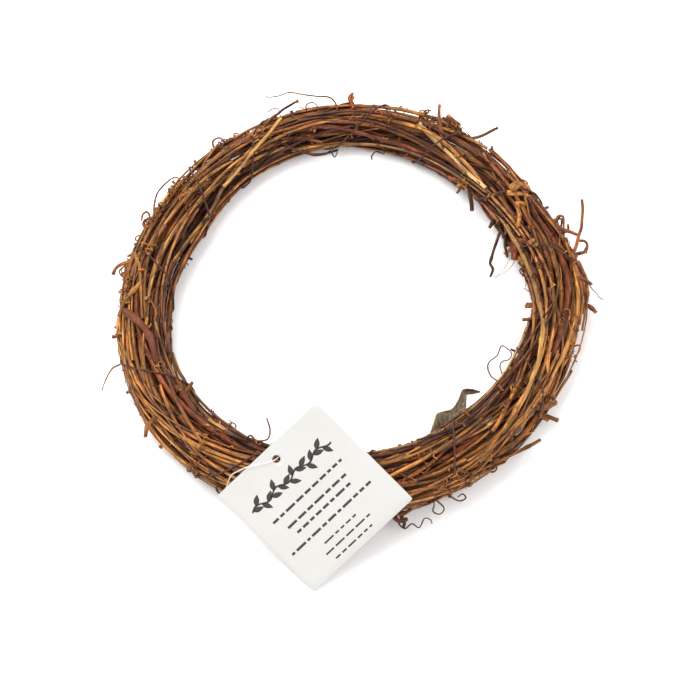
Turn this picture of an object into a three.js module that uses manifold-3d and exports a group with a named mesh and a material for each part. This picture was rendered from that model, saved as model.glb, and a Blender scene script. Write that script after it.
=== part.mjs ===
// A grapevine wreath, lying on its back on the plane z = 0 with the ring's axis along z.
//
// Dried vine canes are laid round the ring in one loose bundle, and a wire winds round it. Where a
// cane runs is worked out in cross-sections of the ring, one every 10 degrees: s is the distance
// outwards from the ring's centre line and z the height above the table. Round the bundle, phi is 0
// on the outer side, 90 on the crown and 180 on the side of the hole. Theta goes round the ring,
// anticlockwise from +X. Lengths are in millimetres and angles in degrees.

import * as THREE from "three";
import { mergeVertices } from "three/addons/utils/BufferGeometryUtils.js";
import Module from "manifold-3d";

const wasm = await Module();
wasm.setup();

// Ring and bundle, every 30 degrees from theta = 0
const RING_RADII = [89.5, 85, 86.5, 90, 88.5, 86, 90, 94, 92.5, 90, 87, 86.5];
const BUNDLE_RADII = [13, 11, 12, 9.5, 10, 12, 11.5, 12, 12.5, 14, 14, 13.5];
const SECTIONS = 36;
const STEP = 360 / SECTIONS;
const SAG = 1;

// The ring's middle, seen from the origin, which is under the middle of the whole piece's box
const RING_MIDDLE = [0.7, 15.1, 0];

// Canes
const SEED = 100;
const LONG_CANES = 13;
const SHORT_CANES = 22;
const LONG_SPAN = [300, 340];
const SHORT_SPAN = [120, 230];
const SHORT_CENTRE = 290;
const SHORT_SPREAD = 100;
const CANE_RADII = [0.85, 1.5];
const TIP_SHARE = 0.72;
const TWIST = [-0.9, 1.3];
const SWAY = 28;
const CANE_SIDES = 5;
const BARK_ORDER = ["tan", "brown", "tan", "red", "dark"];
const GAP = 0.33;
const SLANT_SHARE = 1.03;
const DIVE = 50;

// How the canes settle against each other
const ROUNDS = 500;
const LOOSE_HOLD = 0.04;
const FIRM_HOLD = 0.5;
const STIFFNESS = 0.25;
const PUSH = 0.4;

// Binding wire: where its turns cross the crown of the bundle
const WRAP_ANGLES = [13, 35, 61, 85, 121, 143, 171, 206, 242, 271, 299, 331];
const WIRE_RADIUS = 0.45;
const WIRE_POINTS = 20;
const WIRE_SIDES = 4;
const WIRE_GAP = 0.45;
const WIRE_ROOM = 1.35;
const WIRE_RANGE = [-0.25, 11.5];
const UNDER_WIRE = 12;
const LOOSE_END = 3;
const PAST_END = 0.4;
const REST_SHARE = 0.6;

// Broken side shoots and snags: out of the outermost cane at theta and phi. Lean is 0 straight out of
// the bundle and 90 along the ring, anticlockwise, and bend adds to it towards the tip.
const SHOOT_SIDES = 4;
const SHOOT_STEPS = 4;
const SHOOTS = [
  { theta: 116.5, phi: 51, lean: -60, bend: -30, length: 22, radius: 0.6 },
  { theta: 90, phi: 45, lean: 22, bend: -45, length: 6.5, radius: 0.75 },
  { theta: 65, phi: 20, lean: 36, bend: -18, length: 11.3, radius: 0.8 },
  { theta: 57.5, phi: 26, lean: -64, bend: 32, length: 16.4, radius: 0.7 },
  { theta: 3, phi: 25, lean: -20, bend: -30, length: 8, radius: 0.7 },
  { theta: 47, phi: 172, lean: -42, bend: 0, length: 13, radius: 1.0 },
  { theta: 29, phi: 186, lean: -52, bend: -15, length: 16, radius: 0.65 },
  { theta: 171, phi: 31, lean: 14, bend: 68, length: 13, radius: 0.8 },
  { theta: 215, phi: 150, lean: -20, bend: 0, length: 8, radius: 0.9 },
  { theta: 216, phi: 22, lean: 10, bend: 45, length: 12, radius: 0.85 },
  { theta: 326, phi: 8, lean: 15, bend: 0, length: 7, radius: 0.95 },
  { theta: 196, phi: 165, lean: 50, bend: 0, length: 6, radius: 0.6 },
  { theta: 10, phi: 39, lean: 49, bend: 28, length: 26.7, radius: 0.75 },
];

// Dried leaf: its outline seen from above, clockwise from the stalk, and its height
const LEAF_OUTLINE = [
  [33.1, -64.4], [34.5, -61], [36.2, -56.6], [39.2, -55.5], [42.6, -54], [45.3, -50.3], [46.9, -46],
  [50.5, -44.9], [54.5, -46], [51.3, -47.5], [48.7, -48.5], [48.7, -50.8], [48.1, -53.4], [46.1, -55.4],
  [42.3, -58.2], [38.1, -61.2],
];
const LEAF_THICKNESS = 0.7;
const LEAF_HEIGHT = 13.5;
const LEAF_STALK = [[36, -61.5, 13.6], [34.5, -63.5, 13], [33.1, -65.8, 12]];
const STALK_RADIUS = 0.55;

// Square card, tilted on the crown of the bundle with one corner on the table
const CARD_SIDE = 56.8;
const CARD_THICKNESS = 0.6;
const CARD_TILT = 37;
const CARD_TURN = 44.2;
const CARD_CORNER = [-16.1, -130.6, 0.3];
const HOLE_RADIUS = 1.75;
const HOLE_INSET = 5.75;

// Nylon loop, from its locking head through the card's hole and round the bundle
const LOOP_RADIUS = 0.4;
const LOOP_SIDES = 8;
const LOOP_STEPS = 44;
const LOOP_THETA = 241.5;
const LOOP_GAP = 0.45;
const LOOP_FLOOR = 0.45;
const HEAD_SIZE = [2.4, 2.4, 2.2];
const LOOP_OVER_CARD = [[5.8, -8.6, -2.6], [2.2, -6.8, -2], [0.5, -5.9, -0.4], [-0.2, -5.6, 0.9],
  [-1.8, -4.9, 1.5], [-6, -2.6, 1.35], [-10.4, 0.1, 1.5], [-15, 1.7, 0.9], [-19.4, 1.7, -1.6]];
const LOOP_ROUND = [[240.4, 12, 2.5], [240.4, -12, 0.4], [240.6, -42, 0], [241, -70, 0], [241.8, -95, 0],
  [242.2, -125, 0], [242.8, -155, 0], [243.8, -185, 0.8], [245.6, -208, 1.9], [248, -226, 2]];
const LOOP_END = [6.2, -9.6, -3];

// Canes that the eye can follow, with courses of [theta, phi, distance off the bundle]
const FOLLOWED_CANES = [
  { name: "cane_straw", bark: "tan", radius: 0.95, from: 290, to: 560,
    course: [[292, 28, 0], [303, 42, 0], [322, 76, 0], [342, 96, 0], [362, 130, 0], [400, 131, 0],
      [434, 88, 0]] },
  { name: "cane_olive", bark: "brown", radius: 1.0, from: 100, to: 400,
    course: [[105, 68, 0], [118, 101, 0], [137, 144, 0], [152, 168, 0]] },
  { name: "cane_red", bark: "red", radius: 1.1, from: -80, to: 250,
    course: [[76, 168, 0], [90, 136, 0], [102, 107, 0], [121, 104, 0], [135, 92, 0]] },
  { name: "cane_bark", bark: "dark", radius: 1.6, from: 150, to: 420,
    course: [[180, 64, 0], [190, 74, 0], [206, 102, 0], [222, 108, 0], [232, 118, 0]] },
  { name: "cane_dark", bark: "dark", radius: 1.15, from: 180, to: 500,
    course: [[269, 156, 0], [283, 128, 0], [308, 119, 0], [331, 128, 0]] },
  { name: "cane_bowed", bark: "tan", radius: 1.05, from: 60, to: 360,
    course: [[170, 60, 0], [180, 40, 0], [190, 6, 1.5], [200, 18, 0], [215, 40, 0]] },
  { name: "cane_long_end", bark: "brown", radius: 0.95, from: -300, to: 30,
    course: [[-6, 60, 0], [5, 40, 0], [16, 30, 0], [30, 24, 0]] },
  { name: "cane_low_end", bark: "red", radius: 1.0, from: 0, to: 320,
    course: [[276, 50, 0], [287, 41, 0], [296, 38, 0], [304, 24, 0], [312, -14, 0], [320, -12, 5]] },
  { name: "cane_rest_north", bark: "dark", radius: 1.3, from: 20, to: 190,
    course: [[45, 266, 0], [60, 270, 0], [90, 272, 0], [120, 268, 0], [130, 266, 0]] },
  { name: "cane_rest_west", bark: "dark", radius: 1.25, from: 130, to: 300,
    course: [[160, 268, 0], [170, 270, 0], [210, 272, 0], [222, 268, 0]] },
  { name: "cane_rest_south", bark: "dark", radius: 1.35, from: 230, to: 400,
    course: [[260, 268, 0], [270, 270, 0], [300, 270, 0], [340, 271, 0], [370, 270, 0], [380, 272, 0]] },
];

const radians = THREE.MathUtils.degToRad;
const lerp = THREE.MathUtils.lerp;
const slotOf = (station) => ((station % SECTIONS) + SECTIONS) % SECTIONS;

// A repeatable stream of numbers from 0 to 1
function randomStream(seed) {
  let state = seed;
  return () => {
    state = (state + 0x6d2b79f5) | 0;
    let mixed = Math.imul(state ^ (state >>> 15), 1 | state);
    mixed = (mixed + Math.imul(mixed ^ (mixed >>> 7), 61 | mixed)) ^ mixed;
    return ((mixed ^ (mixed >>> 14)) >>> 0) / 4294967296;
  };
}

// A smooth closed course through values that stand evenly round the ring
function roundTheRing(values, theta) {
  const place = (((theta % 360) + 360) % 360) / 360 * values.length;
  const first = Math.floor(place);
  const t = place - first;
  const [a, b, c, d] = [-1, 0, 1, 2].map((step) => values[(first + step + values.length) % values.length]);
  return b + 0.5 * t * (c - a + t * (2 * a - 5 * b + 4 * c - d + t * (3 * (b - c) + d - a)));
}

const ringRadius = (theta) => roundTheRing(RING_RADII, theta);
const bundleRadius = (theta) => roundTheRing(BUNDLE_RADII, theta);
const bundleMiddle = (theta) => bundleRadius(theta) - SAG;

// The point at s and z in the cross-section at theta
function inSection(theta, s, z) {
  const radius = ringRadius(theta) + s;
  return new THREE.Vector3(radius * Math.cos(radians(theta)), radius * Math.sin(radians(theta)), z);
}

// The point at phi, a distance away from the middle of the bundle
function roundTheBundle(theta, phi, distance) {
  const z = bundleMiddle(theta) + distance * Math.sin(radians(phi));
  return inSection(theta, distance * Math.cos(radians(phi)), z);
}

// Where a turn number of the wire stands on the ring: whole numbers are on the crown
function wireTheta(turn) {
  const first = Math.floor(turn);
  const crossing = (index) => {
    const count = WRAP_ANGLES.length;
    return WRAP_ANGLES[((index % count) + count) % count] + 360 * Math.floor(index / count);
  };
  return lerp(crossing(first), crossing(first + 1), turn - first);
}

// Straight runs between points, for an extrusion with a ring of corners at each point
class PointCurve extends THREE.Curve {
  constructor(points) {
    super();
    this.points = points;
  }

  getPointAt(u, target = new THREE.Vector3()) {
    const place = u * (this.points.length - 1);
    const first = Math.min(Math.floor(place + 1e-9), this.points.length - 2);
    return target.lerpVectors(this.points[first], this.points[first + 1], place - first);
  }

  getTangentAt(u, target = new THREE.Vector3()) {
    const last = this.points.length - 1;
    const index = Math.round(u * last);
    const before = this.points[Math.max(index - 1, 0)];
    const after = this.points[Math.min(index + 1, last)];
    return target.subVectors(after, before).normalize();
  }
}

// A flat-sided rod through points, with its own radius at each of them
function rod(points, radii, sides) {
  const corners = Array.from({ length: sides }, (_, i) => {
    const angle = (i + 0.5) / sides * 2 * Math.PI;
    return new THREE.Vector2(Math.cos(angle), Math.sin(angle));
  });
  const path = new PointCurve(points);
  const settings = { steps: points.length - 1, extrudePath: path };
  const geometry = new THREE.ExtrudeGeometry(new THREE.Shape(corners), settings);
  const position = geometry.attributes.position;
  const corner = new THREE.Vector3();
  for (let i = 0; i < position.count; i++) {
    corner.fromBufferAttribute(position, i);
    const distances = points.map((point) => point.distanceToSquared(corner));
    const nearest = distances.indexOf(Math.min(...distances));
    corner.sub(points[nearest]).multiplyScalar(radii[nearest]).add(points[nearest]);
    position.setXYZ(i, corner.x, corner.y, corner.z);
  }
  return geometry;
}

function toSolid(geometry) {
  geometry.deleteAttribute("normal");
  geometry.deleteAttribute("uv");
  const closed = mergeVertices(geometry, 1e-4);
  return new wasm.Manifold(new wasm.Mesh({
    numProp: 3,
    vertProperties: new Float32Array(closed.attributes.position.array),
    triVerts: new Uint32Array(closed.index.array),
  }));
}

function toGeometry(solid) {
  const mesh = solid.getMesh();
  const geometry = new THREE.BufferGeometry();
  geometry.setAttribute("position", new THREE.BufferAttribute(mesh.vertProperties, 3));
  geometry.setIndex(new THREE.BufferAttribute(mesh.triVerts, 1));
  geometry.computeVertexNormals();
  return geometry;
}

// Value and slope of a course at theta, straight between its points
function alongCourse(course, theta, column) {
  const next = Math.max(1, course.findIndex(([angle]) => angle >= theta));
  const [a, b] = [course[next - 1], course[next]];
  return lerp(a[column], b[column], (theta - a[0]) / (b[0] - a[0]));
}

// Every cane's radius, start and number of stations, and where it would like to run
function drawCanes() {
  const random = randomStream(SEED);
  const canes = FOLLOWED_CANES.map((cane) => ({ ...cane }));
  const drawn = LONG_CANES + SHORT_CANES;
  for (let i = 0; i < drawn; i++) {
    const isLong = i < LONG_CANES;
    const span = lerp(...(isLong ? LONG_SPAN : SHORT_SPAN), random());
    const centre = isLong ? 360 * random() : SHORT_CENTRE + SHORT_SPREAD * (2 * random() - 1);
    const from = STEP * Math.round((centre - span / 2) / STEP);
    const to = from + STEP * Math.round(span / STEP);
    const radius = lerp(...CANE_RADII, random() ** 1.5);
    const bark = BARK_ORDER[i % BARK_ORDER.length];
    canes.push({ name: `cane_${String(i + 1).padStart(2, "0")}`, bark, radius, from, to, course: null });
  }
  canes.forEach((cane, i) => {
    cane.depth = Math.sqrt((i * 7 % canes.length + 0.5) / canes.length);
    cane.phi = 360 * random();
    cane.twist = lerp(...TWIST, random());
    cane.phase = 360 * random();
    cane.growsOnwards = random() < 0.5;
  });
  return canes;
}

// The cane's goal in one cross-section: phi, share of the bundle's radius, lift and hold
function goalAt(cane, theta) {
  const { course, depth, twist, phase } = cane;
  const sway = SWAY * Math.sin(radians(2 * theta + phase));
  if (!course) {
    return { phi: cane.phi + twist * (theta - cane.from) + sway, depth, lift: 0, hold: LOOSE_HOLD };
  }
  const [start, end] = [course[0], course[course.length - 1]];
  if (theta >= start[0] && theta <= end[0]) {
    const [phi, lift] = [alongCourse(course, theta, 1), alongCourse(course, theta, 2)];
    return { phi, depth: 1, lift, hold: FIRM_HOLD };
  }
  const near = theta < start[0] ? start : end;
  const beyond = theta - near[0];
  const dive = Math.min(Math.abs(beyond) / DIVE, 1);
  return { phi: near[1] + twist * beyond, depth: lerp(1, depth, dive), lift: 0, hold: LOOSE_HOLD };
}

// The state of one cane in each slot of the ring: NaN where it doesn't pass
function placeCane(cane) {
  const row = {};
  const columns = ["s", "z", "goalS", "goalZ", "moveS", "moveZ", "radius", "reach", "hold", "floor"];
  for (const column of columns) row[column] = new Float64Array(SECTIONS).fill(NaN);
  const steps = (cane.to - cane.from) / STEP;
  for (let j = 0; j <= steps; j++) {
    const theta = cane.from + j * STEP;
    const slot = slotOf(Math.round(theta / STEP));
    const bundle = bundleRadius(theta);
    const goal = goalAt(cane, theta);
    const share = cane.growsOnwards ? j / steps : 1 - j / steps;
    const radius = cane.radius * lerp(1, TIP_SHARE, share);
    const reach = bundle - radius + goal.lift;
    const distance = goal.depth * reach;
    row.radius[slot] = radius;
    row.reach[slot] = reach;
    row.hold[slot] = goal.hold;
    row.goalS[slot] = distance * Math.cos(radians(goal.phi));
    row.goalZ[slot] = bundleMiddle(theta) + distance * Math.sin(radians(goal.phi));
    row.floor[slot] = isOverWire(slot * STEP) ? radius + WIRE_ROOM : REST_SHARE * radius;
    row.s[slot] = row.goalS[slot];
    row.z[slot] = Math.max(row.goalZ[slot], row.floor[slot]);
  }
  return row;
}

// Canes are lifted where the wire, or the card's loop, passes under them
function isOverWire(theta) {
  const undersides = WRAP_ANGLES.map((_, turn) => wireTheta(turn + 0.5));
  return [...undersides, LOOP_THETA].some((under) => {
    const away = Math.abs(under - theta) % 360;
    return Math.min(away, 360 - away) < UNDER_WIRE;
  });
}

// Adds to the moves what takes two canes apart at a share of the way from one slot to the next.
// Where they change sides on the way, one goes over the other, so they part in and out.
function pushApart(a, b, slot, share) {
  const next = share ? (slot + 1) % SECTIONS : slot;
  const [near, far] = [1 - share, share];
  const [nearS, nearZ] = [b.s[slot] - a.s[slot], b.z[slot] - a.z[slot]];
  const [farS, farZ] = [b.s[next] - a.s[next], b.z[next] - a.z[next]];
  const ds = near * nearS + far * farS;
  const dz = near * nearZ + far * farZ;
  const radii = near * (a.radius[slot] + b.radius[slot]) + far * (a.radius[next] + b.radius[next]);
  const distance = Math.sqrt(ds * ds + dz * dz);
  const overlap = SLANT_SHARE * (radii + GAP) - distance;
  if (overlap <= 0) return;
  let [alongS, alongZ] = [ds / Math.max(distance, 0.01), dz / Math.max(distance, 0.01)];
  if (nearS * farS + nearZ * farZ < 0) {
    const s = a.s[slot] + b.s[slot] + a.s[next] + b.s[next];
    const z = a.z[slot] + b.z[slot] + a.z[next] + b.z[next] - 4 * bundleMiddle((slot + share) * STEP);
    const outwards = (a.order - b.order) * 0.001 + s * ds + z * dz < 0 ? -1 : 1;
    const length = outwards * Math.max(Math.sqrt(s * s + z * z), 0.01);
    [alongS, alongZ] = [s / length, z / length];
  }
  const amount = PUSH * overlap;
  for (const [place, weight] of [[slot, near], [next, far]]) {
    a.moveS[place] -= amount * weight * alongS;
    a.moveZ[place] -= amount * weight * alongZ;
    b.moveS[place] += amount * weight * alongS;
    b.moveZ[place] += amount * weight * alongZ;
  }
}

// Adds to the moves what draws a cane to its goal and keeps it from kinking
function drawToGoal(row, ease) {
  for (let slot = 0; slot < SECTIONS; slot++) {
    const before = slotOf(slot - 1);
    const after = slotOf(slot + 1);
    const pull = ease * row.hold[slot];
    row.moveS[slot] = pull * (row.goalS[slot] - row.s[slot]);
    row.moveZ[slot] = pull * (row.goalZ[slot] - row.z[slot]);
    if (Number.isNaN(row.s[before] + row.s[after])) continue;
    row.moveS[slot] += ease * STIFFNESS * ((row.s[before] + row.s[after]) / 2 - row.s[slot]);
    row.moveZ[slot] += ease * STIFFNESS * ((row.z[before] + row.z[after]) / 2 - row.z[slot]);
  }
}

// Moves a cane, and keeps it inside the bundle and above its floor
function moveCane(row) {
  for (let slot = 0; slot < SECTIONS; slot++) {
    const middle = bundleMiddle(slot * STEP);
    const s = row.s[slot] + row.moveS[slot];
    const z = row.z[slot] + row.moveZ[slot];
    const shrink = Math.min(1, row.reach[slot] / Math.hypot(s, z - middle));
    row.s[slot] = shrink * s;
    row.z[slot] = Math.max(middle + shrink * (z - middle), row.floor[slot]);
  }
}

function settle(rows) {
  const passing = (slot) => rows.filter((row) => !Number.isNaN(row.s[slot]));
  const groups = [];
  for (let slot = 0; slot < SECTIONS; slot++) {
    const here = passing(slot);
    const onwards = here.filter((row) => !Number.isNaN(row.s[(slot + 1) % SECTIONS]));
    groups.push({ slot, share: 0, members: here }, { slot, share: 0.5, members: onwards });
  }
  for (let round = 0; round < ROUNDS; round++) {
    rows.forEach((row) => drawToGoal(row, 1 - round / ROUNDS));
    for (const { slot, share, members } of groups) {
      members.forEach((a, i) => members.slice(i + 1).forEach((b) => pushApart(a, b, slot, share)));
    }
    rows.forEach(moveCane);
  }
}

// Points and radii of a settled cane, one for each cross-section that it passes
function caneCourse(cane, row) {
  const thetas = [];
  for (let theta = cane.from; theta <= cane.to; theta += STEP) thetas.push(theta);
  const slots = thetas.map((theta) => slotOf(Math.round(theta / STEP)));
  const points = slots.map((slot) => inSection(slot * STEP, row.s[slot], row.z[slot]));
  return { name: cane.name, from: cane.from, points, radii: slots.map((slot) => row.radius[slot]) };
}

// Where a cane passes theta, from the middle of the bundle: null where it doesn't
function caneAt(course, theta) {
  for (let turn = -2; turn <= 2; turn++) {
    const last = course.points.length - 1;
    const exact = (theta + 360 * turn - course.from) / STEP;
    if (exact < -PAST_END || exact > last + PAST_END) continue;
    const place = THREE.MathUtils.clamp(exact, 0, last);
    const first = Math.min(Math.floor(place), last - 1);
    const share = place - first;
    const point = new THREE.Vector3().lerpVectors(course.points[first], course.points[first + 1], share);
    const radius = lerp(course.radii[first], course.radii[first + 1], share);
    const s = Math.hypot(point.x, point.y) - ringRadius(theta);
    return { point, radius, s, z: point.z - bundleMiddle(theta) };
  }
  return null;
}

// How far the canes reach from the middle of the bundle towards phi, but for what stands well off it
function bundleReach(courses, theta, phi) {
  let reach = 0;
  for (const course of courses) {
    const place = caneAt(course, theta);
    if (!place || Math.hypot(place.s, place.z) > bundleRadius(theta) + LOOSE_END) continue;
    const away = place.s * Math.cos(radians(phi)) + place.z * Math.sin(radians(phi));
    reach = Math.max(reach, away + place.radius);
  }
  return reach;
}

// The wire's middle: corners of the polygon whose sides lie round the canes, a gap off them
function wirePoints(courses) {
  const points = [];
  const [first, last] = WIRE_RANGE;
  const side = 1 / WIRE_POINTS;
  for (let i = 0; i < Math.round((last - first) * WIRE_POINTS); i++) {
    const [before, after] = [first + i * side, first + (i + 1) * side];
    const theta = wireTheta((before + after) / 2);
    const [phiA, phiB] = [90 + 360 * before, 90 + 360 * after].map(radians);
    const offset = WIRE_RADIUS + WIRE_GAP;
    const reachA = bundleReach(courses, theta, 90 + 360 * before) + offset;
    const reachB = bundleReach(courses, theta, 90 + 360 * after) + offset;
    const s = (reachA * Math.sin(phiB) - reachB * Math.sin(phiA)) / Math.sin(phiB - phiA);
    const z = (reachB * Math.cos(phiA) - reachA * Math.cos(phiB)) / Math.sin(phiB - phiA);
    points.push(inSection(theta, s, Math.max(bundleMiddle(theta) + z, WIRE_RADIUS + 0.05)));
  }
  return points;
}

// The cane that lies furthest out towards phi, and close to that line
function outermostCane(courses, theta, phi) {
  let best = { score: -Infinity };
  courses.forEach((course, index) => {
    const place = caneAt(course, theta);
    if (!place) return;
    const away = place.s * Math.cos(radians(phi)) + place.z * Math.sin(radians(phi));
    const aside = place.z * Math.cos(radians(phi)) - place.s * Math.sin(radians(phi));
    const score = away - 0.25 * Math.abs(aside);
    if (score > best.score) best = { index, score, point: place.point };
  });
  return best;
}

// A side shoot's solid, which starts in the middle of its cane
function shootSolid(shoot, root) {
  const out = new THREE.Vector3(Math.cos(radians(shoot.theta)), Math.sin(radians(shoot.theta)), 0)
    .multiplyScalar(Math.cos(radians(shoot.phi)));
  out.z = Math.sin(radians(shoot.phi));
  const along = new THREE.Vector3(-Math.sin(radians(shoot.theta)), Math.cos(radians(shoot.theta)), 0);
  const points = [root.clone()];
  for (let i = 0; i < SHOOT_STEPS; i++) {
    const angle = radians(shoot.lean + shoot.bend * i / (SHOOT_STEPS - 1));
    const step = out.clone().multiplyScalar(Math.cos(angle)).addScaledVector(along, Math.sin(angle));
    points.push(points[i].clone().addScaledVector(step, shoot.length / SHOOT_STEPS));
  }
  const radii = points.map((_, i) => shoot.radius * lerp(1, 0.6, i / SHOOT_STEPS));
  return toSolid(rod(points, radii, SHOOT_SIDES));
}

// A dried leaf: a dished and waved sheet, cut to its outline, with its stalk
function leafSolid() {
  const xs = LEAF_OUTLINE.map(([x]) => x);
  const ys = LEAF_OUTLINE.map(([, y]) => y);
  const [west, east] = [Math.min(...xs) - 1, Math.max(...xs) + 1];
  const [south, north] = [Math.min(...ys) - 1, Math.max(...ys) + 1];
  const sheet = new THREE.BoxGeometry(east - west, north - south, LEAF_THICKNESS, 14, 12, 1);
  sheet.translate((east + west) / 2, (north + south) / 2, 0);
  const position = sheet.attributes.position;
  for (let i = 0; i < position.count; i++) {
    const [x, y] = [position.getX(i), position.getY(i)];
    position.setZ(i, position.getZ(i) + leafHeight(x, y));
  }
  const outline = new THREE.Shape(LEAF_OUTLINE.map(([x, y]) => new THREE.Vector2(x, y)));
  const cutter = new THREE.ExtrudeGeometry(outline, { depth: 40, bevelEnabled: false });
  const stalk = LEAF_STALK.map((point) => new THREE.Vector3(...point));
  const stalkSolid = toSolid(rod(stalk, stalk.map(() => STALK_RADIUS), 5));
  return toSolid(sheet).intersect(toSolid(cutter)).add(stalkSolid);
}

// The leaf's height: a tilt up to its tip, a rib fold, and waves towards its edges
function leafHeight(x, y) {
  const along = (x - 33.5) * 0.72 + (y + 64) * 0.69;
  const across = (y + 64) * 0.72 - (x - 33.5) * 0.69;
  return LEAF_HEIGHT + 0.06 * along - 0.35 * Math.abs(across - 1) + 0.8 * Math.sin(0.55 * along);
}

function cardGeometry() {
  const half = CARD_SIDE / 2;
  const outline = new THREE.Shape([[-half, -half], [half, -half], [half, half], [-half, half]]
    .map(([x, y]) => new THREE.Vector2(x, y)));
  const hole = new THREE.Path();
  hole.absarc(0, half - HOLE_INSET, HOLE_RADIUS, 0, 2 * Math.PI, true);
  outline.holes.push(hole);
  const settings = { depth: CARD_THICKNESS, bevelEnabled: false, curveSegments: 10 };
  return new THREE.ExtrudeGeometry(outline, settings);
}

// The card's place: its lowest corner is given, and it is turned and then tilted
function placeCard(card) {
  const half = CARD_SIDE / 2;
  card.rotation.set(radians(CARD_TILT), 0, radians(CARD_TURN));
  const corner = new THREE.Vector3(-half, -half, 0).applyEuler(card.rotation);
  card.position.set(...CARD_CORNER).sub(corner);
  card.updateMatrix();
}

// The nylon loop's course: from its head behind the card, through the hole, over the card's edge, round
// the bundle as [theta, phi, lift] and back to the head. On the card, y is counted from its upper edge.
function loopPoints(card, courses) {
  const onCard = ([x, y, above]) => new THREE.Vector3(x, CARD_SIDE / 2 + y, above).applyMatrix4(card.matrix);
  const round = LOOP_ROUND.map(([theta, phi, lift]) => (
    roundTheBundle(theta, phi, bundleReach(courses, theta, phi) + LOOP_RADIUS + LOOP_GAP + lift)));
  const points = [...LOOP_OVER_CARD.map(onCard), ...round, onCard(LOOP_END)];
  const curve = new THREE.CatmullRomCurve3(points, false, "centripetal");
  return curve.getSpacedPoints(LOOP_STEPS).map((point) => point.setZ(Math.max(point.z, LOOP_FLOOR)));
}

// Colours and finishes
function finish(color, roughness, metalness = 0) {
  return new THREE.MeshStandardMaterial({ color, roughness, metalness });
}

const BARKS = {
  tan: finish(0xb07c42, 0.75),
  brown: finish(0x85552b, 0.8),
  red: finish(0x8a4529, 0.75),
  dark: finish(0x553024, 0.85),
};
const WIRE = finish(0x3a2a2c, 0.5, 0.6);
const DRY_LEAF = finish(0x6e6548, 0.85);
const CARD = finish(0xf2f1ec, 0.7);
const NYLON = finish(0xe8e8e4, 0.3);

const wreath = new THREE.Group();
wreath.position.set(...RING_MIDDLE);

function addPiece(name, geometry, material) {
  const mesh = new THREE.Mesh(geometry, material);
  mesh.name = name;
  wreath.add(mesh);
  return mesh;
}

const canes = drawCanes();
const rows = canes.map(placeCane);
rows.forEach((row, order) => Object.assign(row, { order }));
settle(rows);
const courses = canes.map((cane, i) => caneCourse(cane, rows[i]));

// The undersides of the lowest canes are flat where they rest on the table
const table = new THREE.BoxGeometry(400, 400, 20);
table.translate(0, 0, -10);
const tableSolid = toSolid(table);
const caneSolids = courses.map((course) => toSolid(rod(course.points, course.radii, CANE_SIDES)));
for (const shoot of SHOOTS) {
  const host = outermostCane(courses, shoot.theta, shoot.phi);
  caneSolids[host.index] = caneSolids[host.index].add(shootSolid(shoot, host.point));
}
canes.forEach(({ name, bark }, i) => {
  addPiece(name, toGeometry(caneSolids[i].subtract(tableSolid)), BARKS[bark]);
});

const wire = wirePoints(courses);
addPiece("binding_wire", toGeometry(toSolid(rod(wire, wire.map(() => WIRE_RADIUS), WIRE_SIDES))), WIRE);
addPiece("vine_leaf", toGeometry(leafSolid()), DRY_LEAF);
const card = addPiece("hang_tag", cardGeometry(), CARD);
placeCard(card);

const loop = loopPoints(card, courses);
const head = new THREE.BoxGeometry(...HEAD_SIZE);
head.rotateX(radians(CARD_TILT));
head.translate(...loop[0].clone().lerp(loop[loop.length - 1], 0.5).toArray());
const loopSolid = toSolid(rod(loop, loop.map(() => LOOP_RADIUS), LOOP_SIDES)).add(toSolid(head));
addPiece("tag_loop", toGeometry(loopSolid), NYLON);

export default wreath;
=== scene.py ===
import bpy
import numpy as np
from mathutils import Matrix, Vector


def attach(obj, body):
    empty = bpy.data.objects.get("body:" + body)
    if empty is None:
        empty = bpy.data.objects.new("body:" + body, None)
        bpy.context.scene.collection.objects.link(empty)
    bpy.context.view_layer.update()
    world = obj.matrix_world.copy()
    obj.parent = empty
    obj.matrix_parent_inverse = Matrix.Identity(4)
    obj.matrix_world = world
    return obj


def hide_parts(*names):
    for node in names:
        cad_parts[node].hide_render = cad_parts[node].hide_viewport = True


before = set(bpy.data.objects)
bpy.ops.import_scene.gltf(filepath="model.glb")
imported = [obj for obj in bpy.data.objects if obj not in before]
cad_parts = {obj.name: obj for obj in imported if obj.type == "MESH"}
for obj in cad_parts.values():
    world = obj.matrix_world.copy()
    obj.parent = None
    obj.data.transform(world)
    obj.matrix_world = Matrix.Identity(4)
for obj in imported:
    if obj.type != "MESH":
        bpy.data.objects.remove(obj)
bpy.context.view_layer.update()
metre = 1000.0  # millimetres in a metre
print("frame loaded")

ring = {
    "middle": (0.7, 15.1, 0.0),
    "radii": (89.5, 85, 86.5, 90, 88.5, 86, 90, 94, 92.5, 90, 87, 86.5),  # every 30 degrees
    "bundleRadii": (13, 11, 12, 9.5, 10, 12, 11.5, 12, 12.5, 14, 14, 13.5),
    "sections": 36,
    "sag": 1.0,
}
step = 360 / ring["sections"]

caneRule = {
    "seed": 100,
    "longCanes": 13,
    "shortCanes": 22,
    "longSpan": (300, 340),
    "shortSpan": (120, 230),
    "shortCentre": 290,
    "shortSpread": 100,
    "radii": (0.85, 1.5),
    "tipShare": 0.72,
    "twist": (-0.9, 1.3),
    "sway": 28,
    "gap": 0.33,
    "slantShare": 1.03,
    "dive": 50,
    "barks": ("tan", "brown", "tan", "red", "dark"),
}

settling = {
    "rounds": 500,
    "looseHold": 0.04,
    "firmHold": 0.5,
    "stiffness": 0.25,
    "push": 0.4,
    "wireRoom": 1.35,  # lift over the wire where it passes under a cane
    "restShare": 0.6,  # height of the lowest canes' middles, as a share of their radius
    "underWire": 12,
}

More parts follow.
